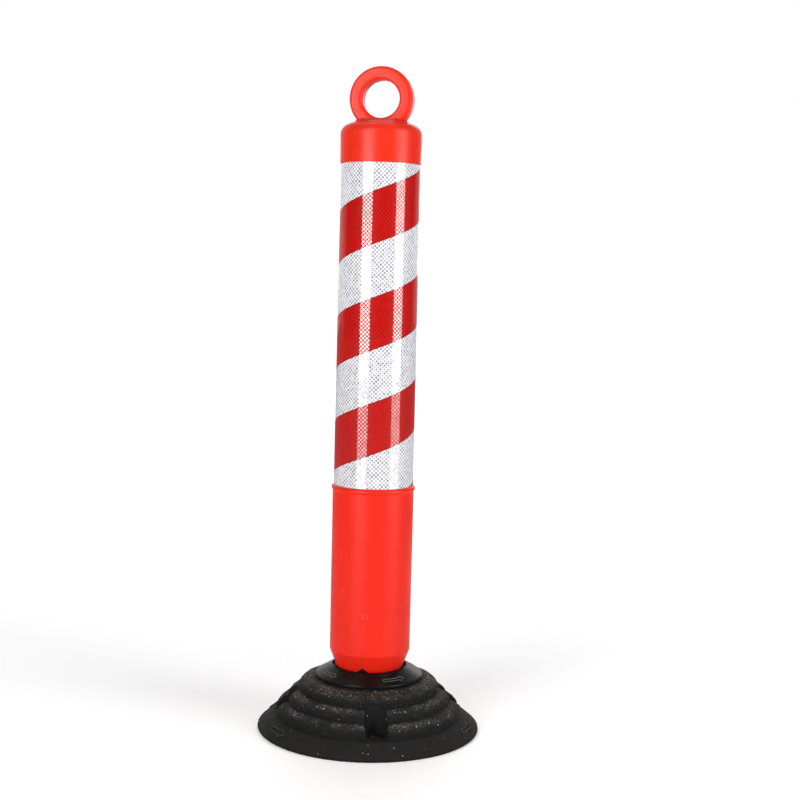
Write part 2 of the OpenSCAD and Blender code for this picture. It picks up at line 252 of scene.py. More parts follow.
def open_group(name: str, kind: str, takes: list[Port], gives: list[Port]) -> tuple[NodeSheet, Node, Node]:
    """Makes an empty node group with its sockets.

    Args:
        name: The group's name.
        kind: "GeometryNodeTree" or "ShaderNodeTree".
        takes: Its inputs.
        gives: Its outputs.

    Returns:
        A sheet on the group, its input node and its output node.
    """
    tree = bpy.data.node_groups.new(name, kind)
    for ports, side in ((takes, "INPUT"), (gives, "OUTPUT")):
        for port in ports:
            socket = tree.interface.new_socket(name=port.name, in_out=side, socket_type=port.kind)
            if port.value is not None:
                socket.default_value = port.value
    sheet = NodeSheet(tree)
    return sheet, sheet.add("NodeGroupInput"), sheet.add("NodeGroupOutput")


def grown(name: str, mesh: bpy.types.Mesh, tree: bpy.types.NodeTree,
          inputs: dict[str, object]) -> bpy.types.Object:
    """Runs a geometry tree on a mesh and keeps the result as a plain mesh object.

    Args:
        name: The piece's name.
        mesh: What the tree starts from.
        tree: The geometry tree.
        inputs: Values of the tree's inputs by name.

    Returns:
        The finished object, with no modifier left.
    """
    piece = bpy.data.objects.new(name, mesh)
    bpy.context.scene.collection.objects.link(piece)
    modifier = piece.modifiers.new("Build", "NODES")
    modifier.node_group = tree
    sockets = {s.name: s.identifier for s in tree.interface.items_tree if s.in_out == "INPUT"}
    for key, value in inputs.items():
        modifier[sockets[key]] = value
    return settled(piece)


def settled(piece: bpy.types.Object) -> bpy.types.Object:
    """Turns an object's modifiers into its plain mesh.

    Args:
        piece: The object.

    Returns:
        The same object, with a new mesh and no modifiers.
    """
    graph = bpy.context.evaluated_depsgraph_get()
    mesh = bpy.data.meshes.new_from_object(piece.evaluated_get(graph), depsgraph=graph)
    mesh.name = piece.name
    piece.modifiers.clear()
    piece.data = mesh
    return piece


def face_outwards(mesh: bpy.types.Mesh, crease: float = 30.0) -> None:
    """Turns a closed shell's faces outwards and shades it smooth between its creases.

    Args:
        mesh: The mesh.
        crease: Edges sharper than this many degrees stay sharp.
    """
    shell = bmesh.new()
    shell.from_mesh(mesh)
    bmesh.ops.remove_doubles(shell, verts=shell.verts, dist=1e-6)
    bmesh.ops.dissolve_degenerate(shell, edges=shell.edges, dist=1e-7)
    bmesh.ops.recalc_face_normals(shell, faces=shell.faces)
    shell.to_mesh(mesh)
    shell.free()
    mesh.shade_smooth()
    mesh.set_sharp_from_angle(angle=math.radians(crease))


def settle_on(piece: bpy.types.Object, body: Body, slot: Slot, *nodes: str) -> None:
    """Hands a finished piece to its body and reports it.

    Args:
        piece: The piece, in place.
        body: The body that it moves with.
        slot: The material slot of its finish. Not used.
        nodes: CAD nodes that it stands for.
    """
    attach(piece, body.value)
    if nodes:
        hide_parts(*nodes)
    log.info("%s: %d faces on %s", piece.name, len(piece.data.polygons), body.value)


# ---------------------------------------------------------------- outlines of turned pieces


@dataclass
class Corner:
    """A corner of a turned piece's outline, in millimetres.

    Radius and height place it, ease rounds it, and rise, flare and slot are how far a tooth lifts
    it, spreads it, and how far a keyway pushes it outwards.
    """

    radius: float
    height: float
    ease: float = 0.0
    rise: float = 0.0
    flare: float = 0.0
    slot: float = 0.0


@dataclass
class Outline:
    """Half the section of a turned piece, as corners joined by straight lines and arcs."""

    corners: list[Corner] = field(default_factory=list)
    steps: int = 5
    guard: float = 1.2

    def to(self, radius: float, height: float, ease: float = 0.0, **tooth: float) -> "Outline":
        """Adds a corner.

        Args:
            radius: Distance from the axis.
            height: Height.
            ease: Radius of the corner's rounding.
            tooth: The corner's rise, flare or slot.

        Returns:
            This outline, so that calls chain.
        """
        self.corners.append(Corner(radius, height, ease, **tooth))
        return self

    def arc(self, centre: tuple[float, float], radius: float, start: float, end: float, steps: int) -> "Outline":
        """Adds an arc.

        Args:
            centre: Radius and height of the arc's centre.
            radius: The arc's radius.
            start: First angle in degrees, from straight out and growing upwards.
            end: Last angle.
            steps: Chords along it.

        Returns:
            This outline, so that calls chain.
        """
        for step in range(steps + 1):
            angle = math.radians(start + (end - start) * step / steps)
            self.to(centre[0] + radius * math.cos(angle), centre[1] + radius * math.sin(angle))
        return self

    def points(self) -> list[Corner]:
        """Resolves the rounded corners.

        Returns:
            Plain points: each eased corner becomes an arc with a guard point on either side.
        """
        found: list[Corner] = []
        for index, corner in enumerate(self.corners):
            if corner.ease <= 0:
                found.append(corner)
                continue
            here = Vector((corner.radius, corner.height))
            before = self.corners[index - 1]
            after = self.corners[(index + 1) % len(self.corners)]
            back = Vector((before.radius, before.height)) - here
            on = Vector((after.radius, after.height)) - here
            half = back.angle(on) / 2
            reach = min(corner.ease / math.tan(half), 0.45 * back.length, 0.45 * on.length)
            start, end = here + back.normalized() * reach, here + on.normalized() * reach
            lead = min(self.guard, 0.4 * (back.length - reach))
            tail = min(self.guard, 0.4 * (on.length - reach))
            spots = [start + back.normalized() * lead]
            for step in range(self.steps + 1):
                share = step / self.steps
                spots.append((1 - share) ** 2 * start + 2 * share * (1 - share) * here + share**2 * end)
            spots.append(end + on.normalized() * tail)
            found += [Corner(spot.x, spot.y) for spot in spots]
        return found

    def mesh(self, name: str) -> bpy.types.Mesh:
        """Draws the closed outline as points with their tooth values.

        Args:
            name: The mesh's name.

        Returns:
            A mesh whose points lie in the XZ plane.
        """
        points = self.points()
        points.append(points[0])
        mesh = bpy.data.meshes.new(name)
        places = [(p.radius * MM, 0.0, p.height * MM) for p in points]
        mesh.from_pydata(places, [(i, i + 1) for i in range(len(points) - 1)], [])
        for key in ("rise", "flare", "slot"):
            values = mesh.attributes.new(key, "FLOAT", "POINT")
            values.data.foreach_set("value", [getattr(p, key) * MM for p in points])
        return mesh


# ---------------------------------------------------------------- geometry trees


def turning_tree() -> bpy.types.NodeTree:
    """A tree that turns an outline about Z, with V teeth and straight keyways round the turn.

    Returns:
        The geometry tree.
    """
    sheet, takes, gives = open_group(
        "Turn outline", "GeometryNodeTree",
        [Port("Outline", GEOMETRY), Port("Segments", INT, 128), Port("Start", FLOAT, 0.0),
         Port("Teeth", INT, 4), Port("Tooth Half Width", FLOAT, 0.005),
         Port("Keyways", INT, 2), Port("Keyway Half Width", FLOAT, 0.007),
         Port("Material", MATERIAL)],
        [Port("Piece", GEOMETRY)],
    )
    ports = takes.outputs
    count = sheet.out("GeometryNodeAttributeDomainSize", "Point Count", {"Geometry": ports["Outline"]},
                      component="MESH")
    rows = sheet.math("ADD", ports["Segments"], 1.0)
    grid = sheet.out("GeometryNodeMeshGrid", "Mesh", {"Vertices X": count, "Vertices Y": rows})
    index = sheet.out("GeometryNodeInputIndex", "Index")
    along = sheet.math("FLOOR", sheet.math("DIVIDE", sheet.math("ADD", index, 0.5), rows))
    step = sheet.math("SUBTRACT", index, sheet.math("MULTIPLY", along, rows))
    angle = sheet.math("MULTIPLY", sheet.math("DIVIDE", step, ports["Segments"]), 2 * math.pi)

    def sampled(kind: str, value: Socket) -> Socket:
        """Reads a value of the outline at this point's place along it."""
        return sheet.out("GeometryNodeSampleIndex", "Value",
                         {"Geometry": ports["Outline"], "Value": value, "Index": along}, data_type=kind)

    def kept(name: str) -> Socket:
        """Reads one of the outline's tooth values."""
        named = sheet.out("GeometryNodeInputNamedAttribute", "Attribute", {"Name": name}, data_type="FLOAT")
        return sampled("FLOAT", named)

    place = sheet.add("ShaderNodeSeparateXYZ",
                      {0: sampled("FLOAT_VECTOR", sheet.out("GeometryNodeInputPosition", "Position"))})
    radius, height = place.outputs["X"], place.outputs["Z"]

    def sideways(repeats: Socket) -> Socket:
        """Distance sideways from the nearest of the features that repeat round the turn."""
        half = sheet.math("DIVIDE", math.pi, repeats)
        offset = sheet.math("WRAP", angle, half, sheet.math("MULTIPLY", half, -1.0))
        return sheet.math("ABSOLUTE", sheet.math("MULTIPLY", radius, sheet.math("SINE", offset)))

    tooth = sheet.math("SUBTRACT", 1.0, sheet.math("DIVIDE", sideways(ports["Teeth"]), ports["Tooth Half Width"]))
    tooth = sheet.math("MAXIMUM", tooth, 0.0)
    inside = sheet.math("LESS_THAN", sideways(ports["Keyways"]), ports["Keyway Half Width"])
    out = sheet.math("ADD", radius, sheet.math("MULTIPLY", kept("flare"), tooth))
    out = sheet.math("ADD", out, sheet.math("MULTIPLY", kept("slot"), inside))
    up = sheet.math("ADD", height, sheet.math("MULTIPLY", kept("rise"), tooth))
    turned = sheet.math("ADD", angle, ports["Start"])
    where = sheet.out("ShaderNodeCombineXYZ", 0, {
        "X": sheet.math("MULTIPLY", out, sheet.math("COSINE", turned)),
        "Y": sheet.math("MULTIPLY", out, sheet.math("SINE", turned)), "Z": up})
    chart = sheet.out("ShaderNodeCombineXYZ", 0, {"X": sheet.math("MULTIPLY", angle, radius), "Y": height})
    shell = sheet.out("GeometryNodeStoreNamedAttribute", "Geometry",
                      {"Geometry": grid, "Name": "UVMap", "Value": chart}, data_type="FLOAT2", domain="CORNER")
    shell = sheet.out("GeometryNodeSetPosition", "Geometry", {"Geometry": shell, "Position": where})
    shell = sheet.out("GeometryNodeMergeByDistance", "Geometry", {"Geometry": shell, "Distance": 1e-6})
    shell = sheet.out("GeometryNodeRealizeInstances", "Geometry", {"Geometry": shell})
    shell = sheet.out("GeometryNodeSetMaterial", "Geometry", {"Geometry": shell, "Material": ports["Material"]})
    sheet.feed(gives.inputs["Piece"], shell)
    return sheet.tree


def wrapping_tree() -> bpy.types.NodeTree:
    """A tree that wraps a film round the tube, level or climbing, and trims it at the top and bottom.

    Returns:
        The geometry tree.
    """
    sheet, takes, gives = open_group(
        "Wrap film", "GeometryNodeTree",
        [Port("Seed", GEOMETRY), Port("Columns", INT, 200), Port("Rows", INT, 9),
         Port("From", FLOAT, -3.0), Port("To", FLOAT, 3.0), Port("Turn", FLOAT, 0.0),
         Port("Low", FLOAT, 0.0), Port("High", FLOAT, 1.0),
         Port("Radius Low", FLOAT, 0.04), Port("Radius High", FLOAT, 0.04), Port("Thickness", FLOAT, 0.0003),
         Port("Middle", FLOAT, 0.5), Port("Half Height", FLOAT, 0.1), Port("Lead", FLOAT, 0.0),
         Port("Material", MATERIAL)],
        [Port("Film", GEOMETRY)],
    )
    ports = takes.outputs
    block = sheet.out("GeometryNodeMeshCube", "Mesh", {
        "Size": (1.0, 1.0, 1.0), "Vertices X": 2, "Vertices Y": ports["Columns"], "Vertices Z": ports["Rows"]})
    place = sheet.add("ShaderNodeSeparateXYZ", {0: sheet.out("GeometryNodeInputPosition", "Position")})
    outward, round_, up = (place.outputs[axis] for axis in "XYZ")
    share = sheet.math("ADD", round_, 0.5)
    angle = sheet.math("ADD", ports["From"],
                       sheet.math("MULTIPLY", share, sheet.math("SUBTRACT", ports["To"], ports["From"])))
    climb = sheet.math("DIVIDE", sheet.math("MULTIPLY", ports["Lead"], angle), 2 * math.pi)
    middle = sheet.math("ADD", ports["Middle"], climb)
    full_height = sheet.math("MULTIPLY", ports["Half Height"], 2.0)
    height = sheet.math("ADD", middle, sheet.math("MULTIPLY", up, full_height))
    height = sheet.math("MINIMUM", sheet.math("MAXIMUM", height, ports["Low"]), ports["High"])
    taper = sheet.math("DIVIDE", sheet.math("SUBTRACT", height, ports["Low"]),
                       sheet.math("SUBTRACT", ports["High"], ports["Low"]))
    radius = sheet.math("ADD", ports["Radius Low"],
                        sheet.math("MULTIPLY", taper,
                                   sheet.math("SUBTRACT", ports["Radius High"], ports["Radius Low"])))
    radius = sheet.math("ADD", radius,
                        sheet.math("MULTIPLY", ports["Thickness"], sheet.math("ADD", outward, 0.5)))
    turned = sheet.math("ADD", angle, ports["Turn"])
    where = sheet.out("ShaderNodeCombineXYZ", 0, {
        "X": sheet.math("MULTIPLY", radius, sheet.math("COSINE", turned)),
        "Y": sheet.math("MULTIPLY", radius, sheet.math("SINE", turned)), "Z": height})
    chart = sheet.out("ShaderNodeCombineXYZ", 0, {
        "X": sheet.math("MULTIPLY", angle, ports["Radius Low"]), "Y": height})
    edge = sheet.math("SUBTRACT", ports["Half Height"],
                      sheet.math("ABSOLUTE", sheet.math("SUBTRACT", height, middle)))
    film = sheet.out("GeometryNodeStoreNamedAttribute", "Geometry",
                     {"Geometry": block, "Name": "UVMap", "Value": chart}, data_type="FLOAT2", domain="CORNER")
    film = sheet.out("GeometryNodeStoreNamedAttribute", "Geometry",
                     {"Geometry": film, "Name": "edge", "Value": edge}, data_type="FLOAT", domain="POINT")
    film = sheet.out("GeometryNodeSetPosition", "Geometry", {"Geometry": film, "Position": where})
    film = sheet.out("GeometryNodeMergeByDistance", "Geometry", {"Geometry": film, "Distance": 2e-6})
    film = sheet.out("GeometryNodeRealizeInstances", "Geometry", {"Geometry": film})
    film = sheet.out("GeometryNodeSetMaterial", "Geometry", {"Geometry": film, "Material": ports["Material"]})
    sheet.feed(gives.inputs["Film"], film)
    return sheet.tree


def bead_tree() -> bpy.types.NodeTree:
    """A tree that runs a round raised bead along a path.

    Returns:
        The geometry tree.
    """
    sheet, takes, gives = open_group(
        "Raised bead", "GeometryNodeTree",
        [Port("Path", GEOMETRY), Port("Bead Radius", FLOAT, 0.0004), Port("Sides", INT, 8),
         Port("Material", MATERIAL)],
        [Port("Bead", GEOMETRY)],
    )
    ports = takes.outputs
    line = sheet.out("GeometryNodeMeshToCurve", "Curve", {"Mesh": ports["Path"]})
    ring = sheet.out("GeometryNodeCurvePrimitiveCircle", "Curve",
                     {"Resolution": ports["Sides"], "Radius": ports["Bead Radius"]})
    bead = sheet.out("GeometryNodeCurveToMesh", "Mesh",
                     {"Curve": line, "Profile Curve": ring, "Fill Caps": True})
    bead = sheet.out("GeometryNodeRealizeInstances", "Geometry", {"Geometry": bead})
    bead = sheet.out("GeometryNodeSetMaterial", "Geometry", {"Geometry": bead, "Material": ports["Material"]})
    sheet.feed(gives.inputs["Bead"], bead)
    return sheet.tree


def ring_of_fasteners_tree() -> bpy.types.NodeTree:
    """A tree that sets copies of a screw, bolt or nut in a ring.

    Returns:
        The geometry tree.
    """
    sheet, takes, gives = open_group(
        "Ring of fasteners", "GeometryNodeTree",
        [Port("Fastener", GEOMETRY), Port("Count", INT, 4), Port("Ring Radius", FLOAT, 0.04),
         Port("Height", FLOAT, 0.0), Port("Start", FLOAT, 0.0), Port("Material", MATERIAL)],
        [Port("Fasteners", GEOMETRY)],
    )
    ports = takes.outputs
    points = sheet.out("GeometryNodeMeshLine", "Mesh", {"Count": ports["Count"], "Offset": (0.0, 0.0, 0.0)})
    index = sheet.out("GeometryNodeInputIndex", "Index")
    turn = sheet.math("DIVIDE", sheet.math("MULTIPLY", index, 2 * math.pi), ports["Count"])
    turn = sheet.math("ADD", turn, ports["Start"])
    where = sheet.out("ShaderNodeCombineXYZ", 0, {
        "X": sheet.math("MULTIPLY", ports["Ring Radius"], sheet.math("COSINE", turn)),
        "Y": sheet.math("MULTIPLY", ports["Ring Radius"], sheet.math("SINE", turn)),
        "Z": ports["Height"]})
    points = sheet.out("GeometryNodeSetPosition", "Geometry", {"Geometry": points, "Position": where})
    aim = sheet.out("ShaderNodeCombineXYZ", 0, {"Z": sheet.math("MULTIPLY", turn, 1.7)})
    copies = sheet.out("GeometryNodeInstanceOnPoints", "Instances",
                       {"Points": points, "Instance": ports["Fastener"], "Rotation": aim})
    copies = sheet.out("GeometryNodeRealizeInstances", "Geometry", {"Geometry": copies})
    copies = sheet.out("GeometryNodeSetMaterial", "Geometry",
                       {"Geometry": copies, "Material": ports["Material"]})
    sheet.feed(gives.inputs["Fasteners"], copies)
    return sheet.tree


def crumb_tree() -> bpy.types.NodeTree:
    """A tree that beds rubber crumbs of many sizes and shades in the top of the foot.

    Returns:
        The geometry tree.
    """
    sheet, takes, gives = open_group(
        "Scatter crumbs", "GeometryNodeTree",
        [Port("Ground", GEOMETRY), Port("Density", FLOAT, 30000.0), Port("Smallest", FLOAT, 0.0004),
         Port("Largest", FLOAT, 0.0011), Port("Lowest", FLOAT, 0.02), Port("Widest", FLOAT, 0.1),
         Port("Pocket Half Width", FLOAT, 0.0135), Port("Pocket From", FLOAT, 0.068),
         Port("Seed", INT, 7), Port("Material", MATERIAL)],
        [Port("Crumbs", GEOMETRY)],
    )
    ports = takes.outputs
    place = sheet.out("GeometryNodeInputPosition", "Position")
    parts = sheet.add("ShaderNodeSeparateXYZ", {0: place})
    facing = sheet.add("ShaderNodeSeparateXYZ", {0: sheet.out("GeometryNodeInputNormal", "Normal")})
    radius = sheet.math("SQRT", sheet.math("ADD", sheet.math("MULTIPLY", parts.outputs["X"], parts.outputs["X"]),
                                           sheet.math("MULTIPLY", parts.outputs["Y"], parts.outputs["Y"])))
    above = sheet.math("GREATER_THAN", parts.outputs["Z"], ports["Lowest"])
    upward = sheet.math("GREATER_THAN", facing.outputs["Z"], 0.25)
    within = sheet.math("LESS_THAN", radius, ports["Widest"])
    along, across = (sheet.math("ABSOLUTE", parts.outputs[axis]) for axis in ("X", "Y"))
    beside = sheet.math("GREATER_THAN", sheet.math("MINIMUM", along, across), ports["Pocket Half Width"])
    inside = sheet.math("LESS_THAN", sheet.math("MAXIMUM", along, across), ports["Pocket From"])
    within = sheet.math("MULTIPLY", within, sheet.math("MAXIMUM", beside, inside))
    chosen = sheet.math("MULTIPLY", sheet.math("MULTIPLY", above, upward), within)
    spots = sheet.add("GeometryNodeDistributePointsOnFaces",
                      {"Mesh": ports["Ground"], "Selection": chosen, "Density": ports["Density"],
                       "Seed": ports["Seed"]}, distribute_method="RANDOM")
    grain = sheet.out("GeometryNodeMeshIcoSphere", "Mesh", {"Radius": 1.0, "Subdivisions": 1})
    chance = sheet.out("FunctionNodeRandomValue", "Value", {"Min": 0.0, "Max": 1.0, "Seed": 3}, data_type="FLOAT")
    span = sheet.math("SUBTRACT", ports["Largest"], ports["Smallest"])
    size = sheet.math("ADD", ports["Smallest"], sheet.math("MULTIPLY", span, sheet.math("POWER", chance, 3.0)))
    shape = sheet.out("FunctionNodeRandomValue", "Value",
                      {"Min": (0.8, 0.6, 0.3), "Max": (1.5, 1.1, 0.5), "Seed": 5}, data_type="FLOAT_VECTOR")
    scale = sheet.out("ShaderNodeVectorMath", "Vector", {0: shape, "Scale": size}, operation="SCALE")
    grains = sheet.out("GeometryNodeInstanceOnPoints", "Instances",
                       {"Points": spots.outputs["Points"], "Instance": grain,
                        "Rotation": spots.outputs["Rotation"], "Scale": scale})
    spin = sheet.out("FunctionNodeRandomValue", "Value",
                     {"Min": (-0.3, -0.3, 0.0), "Max": (0.3, 0.3, 6.28), "Seed": 9}, data_type="FLOAT_VECTOR")
    grains = sheet.out("GeometryNodeRotateInstances", "Instances", {"Instances": grains, "Rotation": spin})
    shade = sheet.out("FunctionNodeRandomValue", "Value", {"Min": 0.0, "Max": 1.0, "Seed": 11}, data_type="FLOAT")
    grains = sheet.out("GeometryNodeStoreNamedAttribute", "Geometry",
                       {"Geometry": grains, "Name": "shade", "Value": shade}, data_type="FLOAT", domain="INSTANCE")
    grains = sheet.out("GeometryNodeRealizeInstances", "Geometry", {"Geometry": grains})
    grains = sheet.out("GeometryNodeSetMaterial", "Geometry",
                       {"Geometry": grains, "Material": ports["Material"]})
    sheet.feed(gives.inputs["Crumbs"], grains)
    return sheet.tree


# ---------------------------------------------------------------- shared shader effects


def lattice_group() -> bpy.types.NodeTree:
    """Diamond cells of prismatic sheeting: reads a chart in metres.

    Returns:
        The shader group. Cell is 1 inside a diamond and 0 on its walls, Glint differs by cell.
    """
    sheet, takes, gives = open_group(
        "Prism lattice", "ShaderNodeTree",
        [Port("Chart", VECTOR), Port("Pitch Across", FLOAT, 0.004), Port("Pitch Up", FLOAT, 0.004),
         Port("Wall", FLOAT, 0.2)],
        [Port("Cell", FLOAT), Port("Glint", FLOAT), Port("Height", FLOAT)],
    )
    ports = takes.outputs
    chart = sheet.add("ShaderNodeSeparateXYZ", {0: ports["Chart"]})
    across = sheet.math("DIVIDE", chart.outputs["X"], ports["Pitch Across"])
    up = sheet.math("DIVIDE", chart.outputs["Y"], ports["Pitch Up"])
    walls, cells = [], []
    for lean in ("ADD", "SUBTRACT"):
        slant = sheet.math(lean, across, up)
        cells.append(sheet.math("FLOOR", slant))
        middle = sheet.math("ABSOLUTE", sheet.math("SUBTRACT", sheet.math("FRACT", slant), 0.5))
        walls.append(sheet.math("SUBTRACT", 0.5, middle))
    nearest = sheet.math("MINIMUM", *walls)
    low = sheet.math("MULTIPLY", ports["Wall"], 0.4)
    cell = sheet.out("ShaderNodeMapRange", 0, {0: nearest, 1: low, 2: ports["Wall"], 3: 0.0, 4: 1.0},
                     interpolation_type="SMOOTHSTEP")
    which = sheet.out("ShaderNodeCombineXYZ", 0, {"X": cells[0], "Y": cells[1]})
    glint = sheet.out("ShaderNodeTexWhiteNoise", "Value", {"Vector": which}, noise_dimensions="2D")
    sheet.feed(gives.inputs["Cell"], cell)
    sheet.feed(gives.inputs["Glint"], glint)
    sheet.feed(gives.inputs["Height"], sheet.math("MINIMUM", nearest, 0.35))
    return sheet.tree


def wear_group() -> bpy.types.NodeTree:
    """Handling marks of a moulded surface: cloudy tone, fine scratches and dust specks.

    Returns:
        The shader group. Tone is cloudy, Scratch marks thin lines, Speck marks small dots.
    """
    sheet, takes, gives = open_group(
        "Handling wear", "ShaderNodeTree",
        [Port("Place", VECTOR), Port("Cloud Scale", FLOAT, 18.0), Port("Scratch Scale", FLOAT, 60.0),
         Port("Speck Scale", FLOAT, 260.0), Port("Specks", FLOAT, 0.06)],
        [Port("Tone", FLOAT), Port("Scratch", FLOAT), Port("Speck", FLOAT), Port("Grain", FLOAT)],
    )
    ports = takes.outputs
    tone = sheet.noise(ports["Place"], ports["Cloud Scale"], 4.0)
    stretched = sheet.out("ShaderNodeVectorMath", "Vector",
                          {0: ports["Place"], 1: (1.0, 1.0, 0.12)}, operation="MULTIPLY")
    lines = sheet.noise(stretched, ports["Scratch Scale"], 6.0, 0.7)
    ridge = sheet.math("ABSOLUTE", sheet.math("SUBTRACT", lines, 0.5))
    scratch = sheet.span(ridge, 0.0, 0.012, 1.0, 0.0)
    patches = sheet.span(sheet.noise(ports["Place"], 9.0, 2.0), 0.5, 0.68)
    dots = sheet.add("ShaderNodeTexVoronoi", {"Vector": ports["Place"], "Scale": ports["Speck Scale"]})
    chosen = sheet.math("LESS_THAN", sheet.add("ShaderNodeSeparateColor", {0: dots.outputs["Color"]}).outputs[0],
                        ports["Specks"])
    speck = sheet.math("MULTIPLY", chosen, sheet.span(dots.outputs["Distance"], 0.1, 0.3, 1.0, 0.0))
    sheet.feed(gives.inputs["Tone"], tone)
    sheet.feed(gives.inputs["Scratch"], sheet.math("MULTIPLY", scratch, patches))
    sheet.feed(gives.inputs["Speck"], speck)
    sheet.feed(gives.inputs["Grain"], sheet.noise(ports["Place"], 1500.0, 2.0))
    return sheet.tree


_trees: dict[str, bpy.types.NodeTree] = {}


def shared(make: Callable[[], bpy.types.NodeTree]) -> bpy.types.NodeTree:
    """Builds a tree once and hands out the same one afterwards.

    Args:
        make: The function that builds it.

    Returns:
        The tree.
    """
    if make.__name__ not in _trees:
        _trees[make.__name__] = make()
    return _trees[make.__name__]


# ---------------------------------------------------------------- finishes


@dataclass(frozen=True)
class Finish:
    """A procedural finish. Its material is made on first use."""

    name: str

    def material(self) -> bpy.types.Material:
        """The finish's material.

        Returns:
            The Blender material.
        """
        found = bpy.data.materials.get(self.name)
        if found is None:
            found = bpy.data.materials.new(self.name)
            found.use_nodes = True
            found.node_tree.nodes.clear()
            sheet = NodeSheet(found.node_tree)
            surface = sheet.add("ShaderNodeBsdfPrincipled")
            self.dress(sheet, surface)
            sheet.add("ShaderNodeOutputMaterial", {"Surface": surface.outputs[0]})
        return found

    def dress(self, sheet: NodeSheet, surface: Node) -> None:
        """Feeds the surface shader.

        Args:
            sheet: The material's sheet.
            surface: Its Principled BSDF.
        """
        raise NotImplementedError

    @staticmethod
    def place(sheet: NodeSheet) -> Socket:
        """Object coordinates, in metres.

        Args:
            sheet: The material's sheet.

        Returns:
            The coordinates.
        """
        return sheet.out("ShaderNodeTexCoord", "Object")

    @staticmethod
    def chart(sheet: NodeSheet) -> Socket:
        """The piece's own chart: distance round it and height, in metres.

        Args:
            sheet: The material's sheet.

        Returns:
            The coordinates.
        """
        return sheet.out("ShaderNodeUVMap", "UV", uv_map="UVMap")

    @staticmethod
    def bump(sheet: NodeSheet, surface: Node, height: Socket, depth: float, strength: float = 1.0) -> None:
        """Feeds a height into the surface's normal.

        Args:
            sheet: The material's sheet.
            surface: Its Principled BSDF.
            height: Height from 0 to 1.
            depth: What 1 means, in metres.
            strength: Share of the effect.
        """
        normal = sheet.out("ShaderNodeBump", "Normal", {"Height": height, "Distance": depth, "Strength": strength})
        sheet.feed(surface.inputs["Normal"], normal)


@dataclass(frozen=True)
class MouldedTube(Finish):
    """Satin polyurethane of the flexible tube and its cap, slightly mottled and handled."""

    main: Colour = (0.84, 0.020, 0.007, 1.0)
    deep: Colour = (0.66, 0.010, 0.004, 1.0)
    pale: Colour = (0.90, 0.16, 0.10, 1.0)
    gloss: float = 0.34

    def dress(self, sheet: NodeSheet, surface: Node) -> None:
        """Feeds the surface shader: cloudy colour, faint flow lines, scuffs and specks."""
        wear = sheet.group(shared(wear_group), Place=self.place(sheet), Cloud_Scale=26.0).outputs
        colour = sheet.blend(sheet.span(wear["Tone"], 0.38, 0.72, 0.0, 0.35), self.main, self.deep)
        colour = sheet.blend(sheet.math("MULTIPLY", wear["Scratch"], 0.16), colour, self.pale)
        colour = sheet.blend(sheet.math("MULTIPLY", wear["Speck"], 0.4), colour, self.deep)
        rough = sheet.math("ADD", sheet.span(wear["Tone"], 0.3, 0.7, self.gloss - 0.05, self.gloss + 0.08),
                           sheet.math("MULTIPLY", wear["Scratch"], 0.12))
        sheet.feed(surface.inputs["Base Color"], colour)
        sheet.feed(surface.inputs["Roughness"], rough)
        height = sheet.math("ADD", sheet.math("MULTIPLY", wear["Grain"], 0.25), wear["Tone"])
        surface.inputs["Specular IOR Level"].default_value = 0.22
        self.bump(sheet, surface, height, 0.00012, 0.5)


@dataclass(frozen=True)
class PrismSheeting(Finish):
    """Prismatic reflective sheeting: glossy film over diamond cells with opaque walls, and a painted shadow along
    its edges.
    """

    cell: Colour = (0.27, 0.26, 0.31, 1.0)
    wall: Colour = (0.88, 0.88, 0.90, 1.0)
    # Colour of the painted shadow along the film's top and bottom edges; also the colour of dust specks.
    edge: Colour = (0.45, 0.45, 0.47, 1.0)
    cell_rough: float = 0.30
    wall_rough: float = 0.55
    mirror: float = 2.3
    lines: float = 0.16
    across: float = 4.0
    up: float = 4.0

    def dress(self, sheet: NodeSheet, surface: Node) -> None:
        """Feeds the surface shader: cells and walls that differ in colour, gloss and coat, and a painted shadow
        along the film's edges.
        """
        chart = self.chart(sheet)
        cells = sheet.group(shared(lattice_group), Chart=chart, Pitch_Across=self.across * MM,
                            Pitch_Up=self.up * MM, Wall=self.lines).outputs
        wear = sheet.group(shared(wear_group), Place=self.place(sheet), Specks=0.03).outputs
        shade = sheet.blend(sheet.math("MULTIPLY", cells["Glint"], 0.55), self.cell, self.wall)
        colour = sheet.blend(cells["Cell"], self.wall, shade)
        # Painted shadow: the film darkens towards its top and bottom edges.
        margin = sheet.out("ShaderNodeAttribute", "Fac", attribute_name="edge")
        rim = sheet.span(margin, 0.0002, 0.0009, 0.8, 0.0)
        colour = sheet.blend(rim, colour, self.edge)
        colour = sheet.blend(sheet.math("MULTIPLY", wear["Speck"], 0.25), colour, self.edge)
        sheet.feed(surface.inputs["Base Color"], colour)
        sheet.feed(surface.inputs["Roughness"],
                   sheet.span(cells["Cell"], 0.0, 1.0, self.wall_rough, self.cell_rough))
        coat = sheet.math("MULTIPLY", cells["Cell"], sheet.span(cells["Glint"], 0.0, 1.0, 0.6, 1.0))
        sheet.feed(surface.inputs["Coat Weight"], coat)
        surface.inputs["Specular IOR Level"].default_value = 0.12
        surface.inputs["Coat Roughness"].default_value = 0.06
        surface.inputs["Coat IOR"].default_value = self.mirror
        self.bump(sheet, surface, cells["Height"], 0.00045, 0.6)


